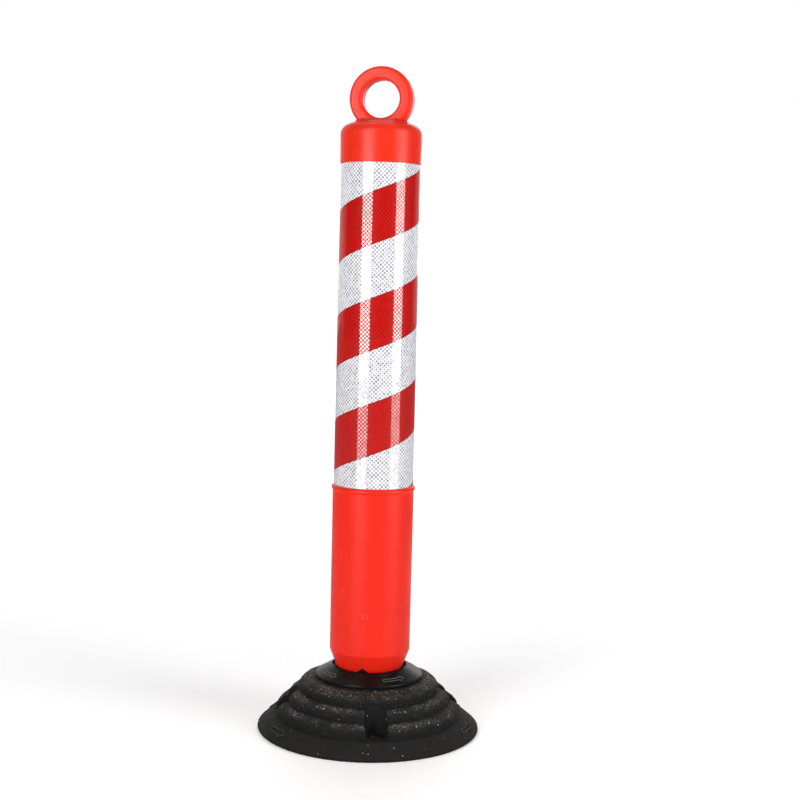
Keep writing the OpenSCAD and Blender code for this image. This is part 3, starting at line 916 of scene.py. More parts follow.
@dataclass(frozen=True)
class GlossCollar(Finish):
    """Glossy black plastic of the locking collar, with dust and fine handling scratches."""

    main: Colour = (0.0050, 0.0049, 0.0045, 1.0)
    dust: Colour = (0.05, 0.046, 0.04, 1.0)

    def dress(self, sheet: NodeSheet, surface: Node) -> None:
        """Feeds the surface shader: near-black plastic, dusty specks and scratches."""
        wear = sheet.group(shared(wear_group), Place=self.place(sheet), Cloud_Scale=40.0,
                           Scratch_Scale=110.0, Speck_Scale=420.0, Specks=0.10).outputs
        colour = sheet.blend(sheet.math("MULTIPLY", wear["Speck"], 0.45), self.main, self.dust)
        colour = sheet.blend(sheet.math("MULTIPLY", wear["Scratch"], 0.3), colour, self.dust)
        rough = sheet.math("ADD", sheet.span(wear["Tone"], 0.35, 0.7, 0.20, 0.36),
                           sheet.math("MULTIPLY", wear["Scratch"], 0.2))
        sheet.feed(surface.inputs["Base Color"], colour)
        sheet.feed(surface.inputs["Roughness"], rough)
        surface.inputs["Specular IOR Level"].default_value = 0.18
        self.bump(sheet, surface, sheet.math("ADD", wear["Tone"], wear["Grain"]), 0.00010, 0.4)


@dataclass(frozen=True)
class CrumbRubber(Finish):
    """Pressed rubber granulate: dark crumbs with pale flecks, paler where it is high and dusty, with painted shade
    in its creases, pockets and steep faces.
    """

    dark: Colour = (0.0065, 0.0063, 0.0058, 1.0)
    grey: Colour = (0.0165, 0.0158, 0.0145, 1.0)
    fleck: Colour = (0.34, 0.31, 0.26, 1.0)
    dust: Colour = (0.105, 0.099, 0.088, 1.0)
    creases: tuple[float, ...] = (0.0955, 0.0840, 0.0718)
    crowns: tuple[float, ...] = (0.0895, 0.0775, 0.0675, 0.0610)
    pocket: float = 0.0116
    # Strength of the painted shade in the creases, the pockets and on steep faces.
    painted_shade: float = 0.70

    def dress(self, sheet: NodeSheet, surface: Node) -> None:
        """Feeds the surface shader: crumb cells of mixed greys, flecks, a dusty crown, and painted shade in the
        creases, the pockets and on steep faces.
        """
        place = self.place(sheet)
        crumbs = sheet.add("ShaderNodeTexVoronoi", {"Vector": place, "Scale": 520.0, "Randomness": 1.0})
        tones = sheet.add("ShaderNodeSeparateColor", {0: crumbs.outputs["Color"]}).outputs
        clouds = sheet.noise(place, 34.0, 4.0)
        flat = sheet.out("ShaderNodeVectorMath", "Vector", {0: place, 1: (1.0, 1.0, 0.0)}, operation="MULTIPLY")
        radius = sheet.out("ShaderNodeVectorMath", "Value", {0: flat}, operation="LENGTH")
        wander = sheet.math("MULTIPLY", sheet.math("SUBTRACT", sheet.noise(place, 55.0), 0.5), 0.006)
        radius = sheet.math("ADD", radius, wander)
        crown = self.near_any(sheet, radius, self.crowns, 0.0012, 0.0040)
        crease = self.near_any(sheet, radius, self.creases, 0.0010, 0.0034)
        facing = sheet.add("ShaderNodeSeparateXYZ", {0: sheet.out("ShaderNodeNewGeometry", "Normal")}).outputs["Z"]
        steep = sheet.span(facing, 0.15, 0.75, 1.0, 0.0)
        # Creases and pockets: painted shade goes there, and dust stays out.
        shaded_and_dust_free = sheet.math("MAXIMUM", crease, self.inside_pocket(sheet, place))
        hollow = sheet.math("MAXIMUM", shaded_and_dust_free, steep)
        mixed = sheet.math("MULTIPLY", tones[0], sheet.span(clouds, 0.3, 0.7, 0.5, 1.0))
        colour = sheet.blend(mixed, self.dark, self.grey)
        # Painted shade: creases, pockets and steep faces are darkened towards near black.
        colour = sheet.blend(sheet.math("MULTIPLY", hollow, self.painted_shade), colour, (0.0030, 0.0030, 0.0030, 1.0))
        patches = sheet.span(sheet.noise(place, 60.0, 3.0), 0.38, 0.58)
        powder = sheet.math("MULTIPLY", sheet.span(sheet.noise(place, 480.0, 5.0, 0.78), 0.46, 0.60), patches)
        powder = sheet.math("MULTIPLY", powder, sheet.math("MULTIPLY", crown, sheet.math("SUBTRACT", 1.0, shaded_and_dust_free)))
        colour = sheet.blend(sheet.math("MULTIPLY", powder, 0.85), colour, self.dust)
        share = sheet.math("ADD", 0.008, sheet.math("MULTIPLY", powder, 0.30))
        share = sheet.math("MULTIPLY", share, sheet.span(clouds, 0.35, 0.65, 0.3, 1.6))
        chosen = sheet.math("LESS_THAN", tones[1], share)
        flecks = sheet.math("MULTIPLY", chosen, sheet.span(crumbs.outputs["Distance"], 0.25, 0.5, 1.0, 0.0))
        colour = sheet.blend(sheet.math("MULTIPLY", flecks, sheet.span(tones[2], 0.0, 1.0, 0.25, 1.0)),
                             colour, self.fleck)
        sheet.feed(surface.inputs["Base Color"], colour)
        sheet.feed(surface.inputs["Roughness"], sheet.span(tones[0], 0.0, 1.0, 0.62, 0.88))
        surface.inputs["Specular IOR Level"].default_value = 0.22
        grain = sheet.math("ADD", sheet.math("MULTIPLY", crumbs.outputs["Distance"], -1.0),
                           sheet.noise(place, 900.0, 3.0))
        self.bump(sheet, surface, grain, 0.0006, 0.7)

    def inside_pocket(self, sheet: NodeSheet, place: Socket) -> Socket:
        """Marks the four pockets, which get painted shade and no dust.

        Args:
            sheet: The material's sheet.
            place: Object coordinates.

        Returns:
            A mask from 0 to 1.
        """
        parts = sheet.add("ShaderNodeSeparateXYZ", {0: place}).outputs
        across = sheet.math("MINIMUM", sheet.math("ABSOLUTE", parts["X"]), sheet.math("ABSOLUTE", parts["Y"]))
        outwards = sheet.math("MAXIMUM", sheet.math("ABSOLUTE", parts["X"]), sheet.math("ABSOLUTE", parts["Y"]))
        slot = sheet.span(across, self.pocket - 0.0008, self.pocket + 0.0004, 1.0, 0.0)
        inner = sheet.span(outwards, 0.0712, 0.0728)
        outer = sheet.span(outwards, 0.0945, 0.0965, 1.0, 0.0)
        return sheet.math("MULTIPLY", slot, sheet.math("MULTIPLY", inner, outer))

    @staticmethod
    def near_any(sheet: NodeSheet, radius: Socket, rings: tuple[float, ...], core: float, fade: float) -> Socket:
        """Marks the ground near any of several rings round the axis.

        Args:
            sheet: The material's sheet.
            radius: Distance from the axis.
            rings: Radii of the rings.
            core: Half the width that is fully marked.
            fade: Distance at which the mark ends.

        Returns:
            A mask from 0 to 1.
        """
        mask: Socket | float = 0.0
        for ring in rings:
            away = sheet.math("ABSOLUTE", sheet.math("SUBTRACT", radius, ring))
            mask = sheet.math("MAXIMUM", mask, sheet.span(away, core, fade, 1.0, 0.0))
        return mask


@dataclass(frozen=True)
class LooseCrumb(Finish):
    """Single rubber crumbs, each with its own shade."""

    dark: Colour = (0.014, 0.0135, 0.012, 1.0)
    grey: Colour = (0.055, 0.05, 0.045, 1.0)
    pale: Colour = (0.40, 0.36, 0.30, 1.0)

    def dress(self, sheet: NodeSheet, surface: Node) -> None:
        """Feeds the surface shader from each crumb's stored shade."""
        shade = sheet.out("ShaderNodeAttribute", "Fac", attribute_name="shade")
        colour = sheet.blend(sheet.span(shade, 0.0, 0.8), self.dark, self.grey)
        colour = sheet.blend(sheet.span(shade, 0.80, 1.0, 0.0, 0.8), colour, self.pale)
        colour = sheet.blend(sheet.span(sheet.noise(self.place(sheet), 1200.0), 0.4, 0.7, 0.0, 0.3),
                             colour, self.dark)
        sheet.feed(surface.inputs["Base Color"], colour)
        sheet.feed(surface.inputs["Roughness"], sheet.span(shade, 0.0, 1.0, 0.7, 0.85))
        self.bump(sheet, surface, sheet.noise(self.place(sheet), 2600.0), 0.0003, 0.5)


@dataclass(frozen=True)
class ZincSteel(Finish):
    """Zinc-plated steel with a cloudy, slightly rubbed plating."""

    bright: Colour = (0.60, 0.61, 0.62, 1.0)
    dull: Colour = (0.33, 0.33, 0.34, 1.0)

    def dress(self, sheet: NodeSheet, surface: Node) -> None:
        """Feeds the surface shader: cloudy plating with rubbed lines."""
        wear = sheet.group(shared(wear_group), Place=self.place(sheet), Cloud_Scale=160.0,
                           Scratch_Scale=400.0).outputs
        colour = sheet.blend(sheet.span(wear["Tone"], 0.35, 0.65), self.bright, self.dull)
        colour = sheet.blend(sheet.math("MULTIPLY", wear["Scratch"], 0.5), colour, self.bright)
        sheet.feed(surface.inputs["Base Color"], colour)
        surface.inputs["Metallic"].default_value = 1.0
        sheet.feed(surface.inputs["Roughness"], sheet.span(wear["Tone"], 0.3, 0.7, 0.28, 0.5))
        self.bump(sheet, surface, wear["Grain"], 0.00005, 0.5)


@dataclass(frozen=True)
class BlackNylon(Finish):
    """Dull black nylon of the foot plug and lock plate, with a moulding grain."""

    main: Colour = (0.014, 0.014, 0.015, 1.0)
    rubbed: Colour = (0.055, 0.055, 0.057, 1.0)

    def dress(self, sheet: NodeSheet, surface: Node) -> None:
        """Feeds the surface shader: grained black with rubbed streaks."""
        wear = sheet.group(shared(wear_group), Place=self.place(sheet), Cloud_Scale=60.0,
                           Scratch_Scale=150.0).outputs
        colour = sheet.blend(sheet.span(wear["Tone"], 0.45, 0.75, 0.0, 0.6), self.main, self.rubbed)
        colour = sheet.blend(sheet.math("MULTIPLY", wear["Scratch"], 0.6), colour, self.rubbed)
        sheet.feed(surface.inputs["Base Color"], colour)
        sheet.feed(surface.inputs["Roughness"], sheet.span(wear["Tone"], 0.3, 0.7, 0.42, 0.6))
        self.bump(sheet, surface, wear["Grain"], 0.0001, 0.6)


@dataclass(frozen=True)
class PaleFloor(Finish):
    """A plain pale studio floor."""

    colour: Colour = (0.80, 0.80, 0.80, 1.0)
    near_glow: float = 0.26
    far_glow: float = 1.0

    def dress(self, sheet: NodeSheet, surface: Node) -> None:
        """Feeds the surface shader: a nearly even white."""
        clouds = sheet.noise(self.place(sheet), 3.0)
        soft = tuple(0.985 * part for part in self.colour[:3]) + (1.0,)
        sheet.feed(surface.inputs["Base Color"], sheet.blend(clouds, self.colour, soft))
        surface.inputs["Roughness"].default_value = 0.7
        surface.inputs["Emission Color"].default_value = (1.0, 1.0, 1.0, 1.0)
        seen = sheet.out("ShaderNodeLightPath", "Is Camera Ray")
        away = sheet.out("ShaderNodeVectorMath", "Value", {0: self.place(sheet)}, operation="LENGTH")
        glow = sheet.span(away, 0.2, 2.2, self.near_glow, self.far_glow)
        sheet.feed(surface.inputs["Emission Strength"], sheet.math("MULTIPLY", seen, glow))


TUBE_FINISH = MouldedTube("tube_orange")
# The cap: a darker copy of the tube's plastic, which paints shade on it.
CAP_FINISH = MouldedTube("cap_orange", main=(0.76, 0.028, 0.010, 1.0), deep=(0.56, 0.016, 0.006, 1.0), gloss=0.30)
MARK_FINISH = MouldedTube("mark_orange", main=(0.92, 0.075, 0.050, 1.0), deep=(0.85, 0.050, 0.030, 1.0))
WHITE_FINISH = PrismSheeting("white_prism")
RED_FINISH = PrismSheeting("red_prism", cell=(0.36, 0.0008, 0.0008, 1.0), wall=(0.50, 0.0045, 0.0018, 1.0),
                           edge=(0.12, 0.001, 0.002, 1.0), mirror=2.8, lines=0.25)
COLLAR_FINISH = GlossCollar("collar_black")
# The collar's raised arrows: a lighter copy of the collar plastic, a painted highlight.
COLLAR_MARK_FINISH = GlossCollar("collar_mark", main=(0.075, 0.073, 0.070, 1.0), dust=(0.20, 0.19, 0.17, 1.0))
RUBBER_FINISH = CrumbRubber("pressed_rubber")
RUBBER_MARK_FINISH = CrumbRubber("rubbed_rubber", dark=(0.022, 0.021, 0.019, 1.0),
                                 grey=(0.060, 0.057, 0.051, 1.0), painted_shade=0.0)
CRUMB_FINISH = LooseCrumb("loose_crumb")
STEEL_FINISH = ZincSteel("zinc_steel")
NYLON_FINISH = BlackNylon("black_nylon")
FLOOR_FINISH = PaleFloor("pale_floor")


# ---------------------------------------------------------------- shaping helpers


def turned_piece(name: str, outline: Outline, finish: Finish, **inputs: object) -> bpy.types.Object:
    """Turns an outline into a closed piece.

    Args:
        name: The piece's name.
        outline: Its half section.
        finish: Its finish.
        inputs: Values of the turning tree, with spaces in names written as underscores.

    Returns:
        The finished object.
    """
    values = {"Start": FRONT + POST_TURN, "Material": finish.material()}
    values.update({key.replace("_", " "): value for key, value in inputs.items()})
    piece = grown(name, outline.mesh(name), shared(turning_tree), values)
    face_outwards(piece.data)
    return piece


def softened_copy(name: str, node: str, finish: Finish, width: float = 0.5) -> bpy.types.Object:
    """Copies a CAD node's shape and eases its edges.

    Args:
        name: The piece's name.
        node: The CAD node.
        finish: Its finish.
        width: Width of the eased edges in millimetres.

    Returns:
        The new object.
    """
    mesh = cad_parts[node].data.copy()
    mesh.name = name
    shell = bmesh.new()
    shell.from_mesh(mesh)
    bmesh.ops.remove_doubles(shell, verts=shell.verts, dist=1e-6)
    bmesh.ops.dissolve_limit(shell, angle_limit=math.radians(1.0), verts=shell.verts, edges=shell.edges)
    shell.to_mesh(mesh)
    shell.free()
    mesh.materials.clear()
    mesh.materials.append(finish.material())
    piece = bpy.data.objects.new(name, mesh)
    bpy.context.scene.collection.objects.link(piece)
    ease = piece.modifiers.new("Ease", "BEVEL")
    ease.width, ease.segments, ease.limit_method = width * MM, 2, "ANGLE"
    ease.angle_limit = math.radians(40)
    ease.use_clamp_overlap = True
    settled(piece)
    piece.data.shade_smooth()
    piece.data.set_sharp_from_angle(angle=math.radians(35))
    return piece


@dataclass(frozen=True)
class Slope:
    """A cone or cylinder that marks are raised on: two points of its section, in millimetres."""

    low: tuple[float, float]
    high: tuple[float, float]

    def spot(self, azimuth: float, up: float, stand: float = 0.0) -> Vector:
        """A point on the slope.

        Args:
            azimuth: Angle from the front, in radians.
            up: Share of the way from low to high.
            stand: Distance that it stands off the slope, in millimetres.

        Returns:
            The point in metres.
        """
        run = Vector(self.high) - Vector(self.low)
        off = Vector((run.y, -run.x)).normalized() * stand
        section = Vector(self.low) + run * up + (off if off.x >= 0 else -off)
        heading = azimuth + FRONT
        return Vector((section.x * math.cos(heading), section.x * math.sin(heading), section.y)) * MM

    def length(self) -> float:
        """Length of the slope's section in millimetres."""
        return (Vector(self.high) - Vector(self.low)).length


@dataclass(frozen=True)
class RaisedMark:
    """A closed line raised on a slope, drawn in millimetres along and across it."""

    slope: Slope
    azimuth: float
    centre: float
    line: tuple[tuple[float, float], ...]
    bead: float = 0.4

    def path(self) -> bpy.types.Mesh:
        """Lays the line on the slope.

        Returns:
            The path as a closed mesh line.
        """
        points: list[Vector] = []
        radius = self.slope.spot(0.0, self.centre).to_2d().length / MM
        for (start, rise), (end, top) in zip(self.line, self.line[1:] + self.line[:1]):
            parts = max(1, round(math.hypot(end - start, top - rise) / 1.2))
            for part in range(parts):
                share = part / parts
                along, across = start + (end - start) * share, rise + (top - rise) * share
                points.append(self.slope.spot(math.radians(self.azimuth) + along / radius,
                                              self.centre + across / self.slope.length()))
        mesh = bpy.data.meshes.new("path")
        mesh.from_pydata(points, [(i, (i + 1) % len(points)) for i in range(len(points))], [])
        return mesh


def arrow_line(length: float, shaft: float, head: float, way: int = 1) -> tuple[tuple[float, float], ...]:
    """A plain arrow's outline, centred on its own middle.

    Args:
        length: Whole length in millimetres.
        shaft: Width of the shaft.
        head: Width and length of the head.
        way: 1 points to growing azimuth, -1 the other way.

    Returns:
        The corners.
    """
    back, neck, tip = -length / 2, length / 2 - head * 0.8, length / 2
    corners = ((back, -shaft / 2), (neck, -shaft / 2), (neck, -head / 2), (tip, 0.0),
               (neck, head / 2), (neck, shaft / 2), (back, shaft / 2))
    return tuple((way * along, across) for along, across in corners)


def ring_line(radius: float, sides: int = 20) -> tuple[tuple[float, float], ...]:
    """A ring or, with four sides, a diamond.

    Args:
        radius: Its radius in millimetres.
        sides: Its corners.

    Returns:
        The corners.
    """
    turns = [2 * math.pi * side / sides for side in range(sides)]
    return tuple((radius * math.cos(turn), radius * math.sin(turn)) for turn in turns)


def raised(name: str, marks: list[RaisedMark], finish: Finish) -> bpy.types.Object:
    """Runs beads along several marks and joins them into one piece.

    Args:
        name: The piece's name.
        marks: The marks.
        finish: The finish of what they are moulded on.

    Returns:
        The finished object.
    """
    joined = bmesh.new()
    for mark in marks:
        inputs = {"Bead Radius": mark.bead * MM, "Material": finish.material()}
        bead = grown(name, mark.path(), shared(bead_tree), inputs)
        joined.from_mesh(bead.data)
        bpy.data.objects.remove(bead)
    mesh = bpy.data.meshes.new(name)
    joined.to_mesh(mesh)
    joined.free()
    mesh.materials.append(finish.material())
    piece = bpy.data.objects.new(name, mesh)
    bpy.context.scene.collection.objects.link(piece)
    face_outwards(mesh, 60.0)
    return piece


def box_mm(node: str) -> tuple[Vector, Vector]:
    """The lowest and highest corners of a CAD node in millimetres.

    Args:
        node: The node's name.

    Returns:
        Both corners.
    """
    low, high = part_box(node)
    return low / MM, high / MM


# ---------------------------------------------------------------- sub-assemblies


@dataclass
class RubberFoot:
    """The heavy pressed-rubber foot, with its crumbs and the arrows raised on its skirt."""

    voxel: float = 1.25
    grain: float = 0.35
    crumb_density: float = 38000.0
    creases: tuple[tuple[float, float], ...] = ((95.5, 17.7), (83.8, 30.7), (71.6, 41.7))
    crease_reach: float = 4.0
    crease_depth: float = 1.6
    skirt: Slope = Slope((112.5, 3.9), (96.5, 16.9))

    def build(self) -> None:
        """Builds and dresses the foot."""
        body = self.pressed_body()
        self.bed_crumbs(body)
        settle_on(body, Body.BASE, Slot.RUBBER, "rubber_base")
        self.raise_arrows()

    def pressed_body(self) -> bpy.types.Object:
        """Remeshes the foot finely and roughens it inwards, so that it stays within its box.

        Returns:
            The foot.
        """
        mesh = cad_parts["rubber_base"].data.copy()
        shell = bmesh.new()
        shell.from_mesh(mesh)
        bmesh.ops.remove_doubles(shell, verts=shell.verts, dist=1e-6)
        shell.to_mesh(mesh)
        shell.free()
        mesh.materials.clear()
        mesh.materials.append(RUBBER_FINISH.material())
        piece = bpy.data.objects.new("rubber_foot", mesh)
        bpy.context.scene.collection.objects.link(piece)
        fine = piece.modifiers.new("Fine", "REMESH")
        fine.mode, fine.voxel_size = "VOXEL", self.voxel * MM
        soft = piece.modifiers.new("Soft", "SMOOTH")
        soft.factor, soft.iterations = 0.5, 2
        settled(piece)
        self.roughen(piece.data)
        piece.data.shade_smooth()
        return piece

    def roughen(self, mesh: bpy.types.Mesh) -> None:
        """Presses crumb-sized dents into the foot, sparing its flat underside.

        Args:
            mesh: The foot's mesh.
        """
        count = len(mesh.vertices)
        places, facing = np.zeros(count * 3, np.float32), np.zeros(count * 3, np.float32)
        mesh.vertices.foreach_get("co", places)
        mesh.vertex_normals.foreach_get("vector", facing)
        places, facing = places.reshape(-1, 3), facing.reshape(-1, 3)
        dents = np.zeros(count, np.float32)
        for index, place in enumerate(places):
            if place[2] > 2 * MM:
                spot = Vector(place)
                coarse, fine = noise.noise(spot * 240.0), noise.noise(spot * 620.0)
                dents[index] = 0.5 * coarse + 0.8 * fine
        dents = np.clip(dents - 0.55, -1.6, 0.0) * self.grain * MM
        section = np.stack([np.hypot(places[:, 0], places[:, 1]), places[:, 2]], 1)
        for radius, height in self.creases:
            away = np.hypot(section[:, 0] - radius * MM, section[:, 1] - height * MM) / (self.crease_reach * MM)
            dents -= np.clip(1.0 - away, 0.0, 1.0) ** 2 * self.crease_depth * MM
        spared = places[:, 2] <= 2 * MM
        dents[spared] = 0.0
        mesh.vertices.foreach_set("co", (places + facing * dents[:, None]).ravel())
        mesh.update()

    def bed_crumbs(self, body: bpy.types.Object) -> None:
        """Scatters crumbs over the top of the foot.

        Args:
            body: The finished foot.
        """
        inputs = {"Density": self.crumb_density, "Lowest": 24 * MM, "Widest": 101 * MM,
                  "Smallest": 0.30 * MM, "Largest": 1.15 * MM, "Material": CRUMB_FINISH.material()}
        crumbs = grown("foot_crumbs", body.data.copy(), shared(crumb_tree), inputs)
        crumbs.data.shade_smooth()
        settle_on(crumbs, Body.BASE, Slot.RUBBER)

    def raise_arrows(self) -> None:
        """Raises a plain turning arrow on each side of the skirt."""
        arrow = arrow_line(25.0, 4.4, 9.6)
        marks = [RaisedMark(self.skirt, azimuth, 0.5, arrow, 0.9) for azimuth in (-64.0, 66.0, 116.0, -116.0)]
        piece = raised("skirt_arrows", marks, RUBBER_MARK_FINISH)
        settle_on(piece, Body.BASE, Slot.RUBBER)


@dataclass
class LockingCollar:
    """The turning collar: flange, sleeve, seat teeth, bore with keyways, retaining ring and arrows."""

    bore: float = 20.08
    sleeve: float = 32.0
    lip: float = 38.8
    lip_width: float = 2.0
    lip_rise: float = 12.1
    seat_rise: float = 10.7
    seat_inner: float = 28.5
    seat_outer: float = 34.9
    groove: float = 3.4
    flange_depth: float = 5.3
    tooth: float = 5.1
    tooth_half: float = 5.5
    rim: float = 2.7
    key_depth: float = 7.3
    key_half: float = 7.3
    arrow_from: float = 43.0
    arrow: tuple[float, float, float] = (24.0, 2.8, 6.8)

    def build(self) -> None:
        """Builds and dresses the collar."""
        low, high = box_mm("twist_collar")
        under = box_mm("rubber_base")[1].z + 0.3
        self.turn_body(low.z, under, high.x)
        self.raise_arrows(under, high.x)
        ring = softened_copy("retaining_ring", "collar_retainer", STEEL_FINISH, 0.3)
        settle_on(ring, Body.COLLAR, Slot.STEEL, "collar_retainer")

    def turn_body(self, foot: float, under: float, rim_out: float) -> None:
        """Turns the collar.

        Args:
            foot: Lower end of the sleeve.
            under: Underside of the flange.
            rim_out: Radius of the rim.
        """
        ring_low, ring_high = box_mm("collar_retainer")
        seat, lip = under + self.seat_rise, under + self.lip_rise
        floor = seat - self.flange_depth + 0.3
        outline = Outline(steps=6)
        outline.to(self.bore, foot, 0, slot=self.key_depth).to(self.sleeve, foot, 0.8)
        outline.to(self.sleeve, ring_low.z - 0.1).to(self.sleeve - 2.0, ring_low.z - 0.1)
        outline.to(self.sleeve - 2.0, ring_high.z + 0.1).to(self.sleeve, ring_high.z + 0.1)
        outline.to(self.sleeve, under - 0.01, 0.4).to(rim_out, under, 0.9).to(rim_out, under + self.rim, 1.1)
        outline.to(self.lip + self.lip_width / 2, lip - 0.9, 0.6).to(self.lip, lip, 0.9)
        outline.to(self.lip - self.lip_width / 2, lip - 0.3, 0.5)
        outline.to(self.lip - self.lip_width / 2, seat - self.groove, 0.7)
        outline.to(self.seat_outer, seat - self.groove, 0.5)
        outline.to(self.seat_outer, seat, 0, rise=self.tooth).to(self.seat_inner, seat, 0, rise=self.tooth)
        outline.to(self.seat_inner, floor, 0.5)
        outline.to(self.bore, floor, 0, slot=self.key_depth)
        body = turned_piece("locking_collar", outline, COLLAR_FINISH, Segments=240,
                            Tooth_Half_Width=self.tooth_half * MM, Keyway_Half_Width=self.key_half * MM)
        settle_on(body, Body.COLLAR, Slot.COLLAR, "twist_collar")

    def raise_arrows(self, under: float, rim_out: float) -> None:
        """Raises a turning arrow on each quarter of the collar's cone.

        Args:
            under: Underside of the flange.
            rim_out: Radius of the rim.
        """
        slope = Slope((rim_out - 0.6, under + self.rim),
                      (self.lip + self.lip_width / 2, under + self.lip_rise - 0.9))
        turn = math.degrees(POST_TURN)
        marks = [RaisedMark(slope, turn + self.arrow_from + 90 * quarter, 0.45, arrow_line(*self.arrow), 0.55)
                 for quarter in range(4)]
        settle_on(raised("collar_arrows", marks, COLLAR_MARK_FINISH), Body.COLLAR, Slot.COLLAR)


@dataclass
class PostTube:
    """The flexible tube, with its tapered foot, notches and bead."""

    foot_radius: float = 34.2
    crease_radius: float = 40.7
    crease_height: float = 82.7
    bead_radius: float = 2.6
    bead_centre: tuple[float, float] = (39.8, 248.3)
    below_bead: float = 41.1
    above_bead: float = 39.6
    film_top: tuple[float, float] = (38.8, 570.9)
    wall: float = 3.0
    floor: float = 6.8
    notch: float = 5.3
    notch_half: float = 5.75
    notch_inner: float = 28.4

    def build(self) -> None:
        """Builds and dresses the tube."""
        low, high = box_mm("post_tube")
        self.turn_body(low.z, high.z)
        self.raise_marks()

    def turn_body(self, foot: float, top: float) -> None:
        """Turns the tube.

        Args:
            foot: Its lower end.
            top: Its upper end, under the cap.
        """
        spread = (self.crease_radius - self.foot_radius) / (self.crease_height - foot) * self.notch
        inner = self.film_top[0] - self.wall
        outline = Outline(steps=6)
        outline.to(0, foot).to(self.notch_inner - 0.1, foot)
        outline.to(self.notch_inner, foot, 0, rise=self.notch)
        outline.to(self.foot_radius, foot, 0, rise=self.notch, flare=spread)
        outline.to(self.crease_radius, self.crease_height, 1.6)
        outline.to(self.below_bead, self.bead_centre[1] - 2.6, 0.8)
        outline.arc(self.bead_centre, self.bead_radius, -50, 80, 12)
        outline.to(self.above_bead, self.bead_centre[1] + self.bead_radius + 0.2, 0.4)
        outline.to(*self.film_top).to(self.film_top[0], top, 0.8).to(inner, top, 0.8)
        outline.to(inner, self.film_top[1]).to(self.above_bead - self.wall, self.bead_centre[1])
        outline.to(self.crease_radius - self.wall, self.crease_height + 1.0).to(
            self.foot_radius, foot + self.floor, 1.0).to(0, foot + self.floor)
        body = turned_piece("flexible_tube", outline, TUBE_FINISH, Segments=192,
                            Tooth_Half_Width=self.notch_half * MM)
        settle_on(body, Body.POST, Slot.TUBE, "post_tube")

    def raise_marks(self) -> None:
        """Raises the small round mould marks above the foot."""
        slope = Slope((40.72, 90.0), (41.0, 150.0))
        marks = [RaisedMark(slope, -13.0, 0.57, ring_line(2.7), 0.45),
                 RaisedMark(slope, -50.0, 0.97, ring_line(2.2), 0.35),
                 RaisedMark(slope, 167.0, 0.57, ring_line(2.7), 0.45)]
        settle_on(raised("tube_mould_marks", marks, MARK_FINISH), Body.POST, Slot.TUBE)


@dataclass
class Sheeting:
    """The white prismatic sheet and the red bands that climb round it."""

    thick: float = 0.35
    film: float = 0.17
    gap: float = 0.8
    first_middle: float = 58.2
    pitch: float = 103.69
    lead: float = 96.6
    half: float = 25.92
    bands: int = 5
    radius_low: float = 40.05
    radius_high: float = 39.25

    def build(self) -> None:
        """Wraps the sheet and each band."""
        low, high = (corner.z for corner in box_mm("white_sheeting"))
        reach = math.pi - self.gap / 2 / self.radius_low
        sheet = self.wrap("white_sheet", WHITE_FINISH, -reach, reach, 0.0, (low + high) / 2,
                          (high - low) / 2, 0.0, self.thick, 33)
        settle_on(sheet, Body.POST, Slot.WHITE, "white_sheeting")
        for band in range(1, self.bands + 1):
            middle = low + self.first_middle + (band - 2) * self.pitch
            climb = self.lead / (2 * math.pi)
            start = max(-reach, (low - self.half - middle) / climb)
            end = min(reach, (high + self.half - middle) / climb)
            name = f"red_band_{band}_film"
            film = self.wrap(name, RED_FINISH, start, end, self.thick, middle, self.half, self.lead,
                             self.thick + self.film, 7)
            settle_on(film, Body.POST, Slot.RED, f"red_band_{band}")

    def wrap(self, name: str, finish: Finish, start: float, end: float, under: float, middle: float,
             half: float, lead: float, over: float, rows: int) -> bpy.types.Object:
        """Wraps one film.

        Args:
            name: The piece's name.
            finish: Its finish.
            start: First azimuth in radians.
            end: Last azimuth.
            under: Height of its inner face above the tube's film seat.
            middle: Height of its middle at the front.
            half: Half its height.
            lead: Climb in a whole turn.
            over: Height of its outer face.
            rows: Rows of points up it.

        Returns:
            The finished object.
        """
        low, high = (corner.z for corner in box_mm("white_sheeting"))
        seat_low, seat_high = self.radius_low - self.thick, self.radius_high - self.thick
        values = {"Columns": max(24, round(232 * (end - start) / (2 * math.pi))), "Rows": rows,
                  "From": start, "To": end, "Turn": FRONT + POST_TURN,
                  "Low": low * MM, "High": high * MM,
                  "Radius Low": (seat_low + under) * MM, "Radius High": (seat_high + under) * MM,
                  "Thickness": (over - under) * MM, "Middle": middle * MM, "Half Height": half * MM,
                  "Lead": lead * MM, "Material": finish.material()}
        film = grown(name, bpy.data.meshes.new(name), shared(wrapping_tree), values)
        face_outwards(film.data, 50.0)
        return film


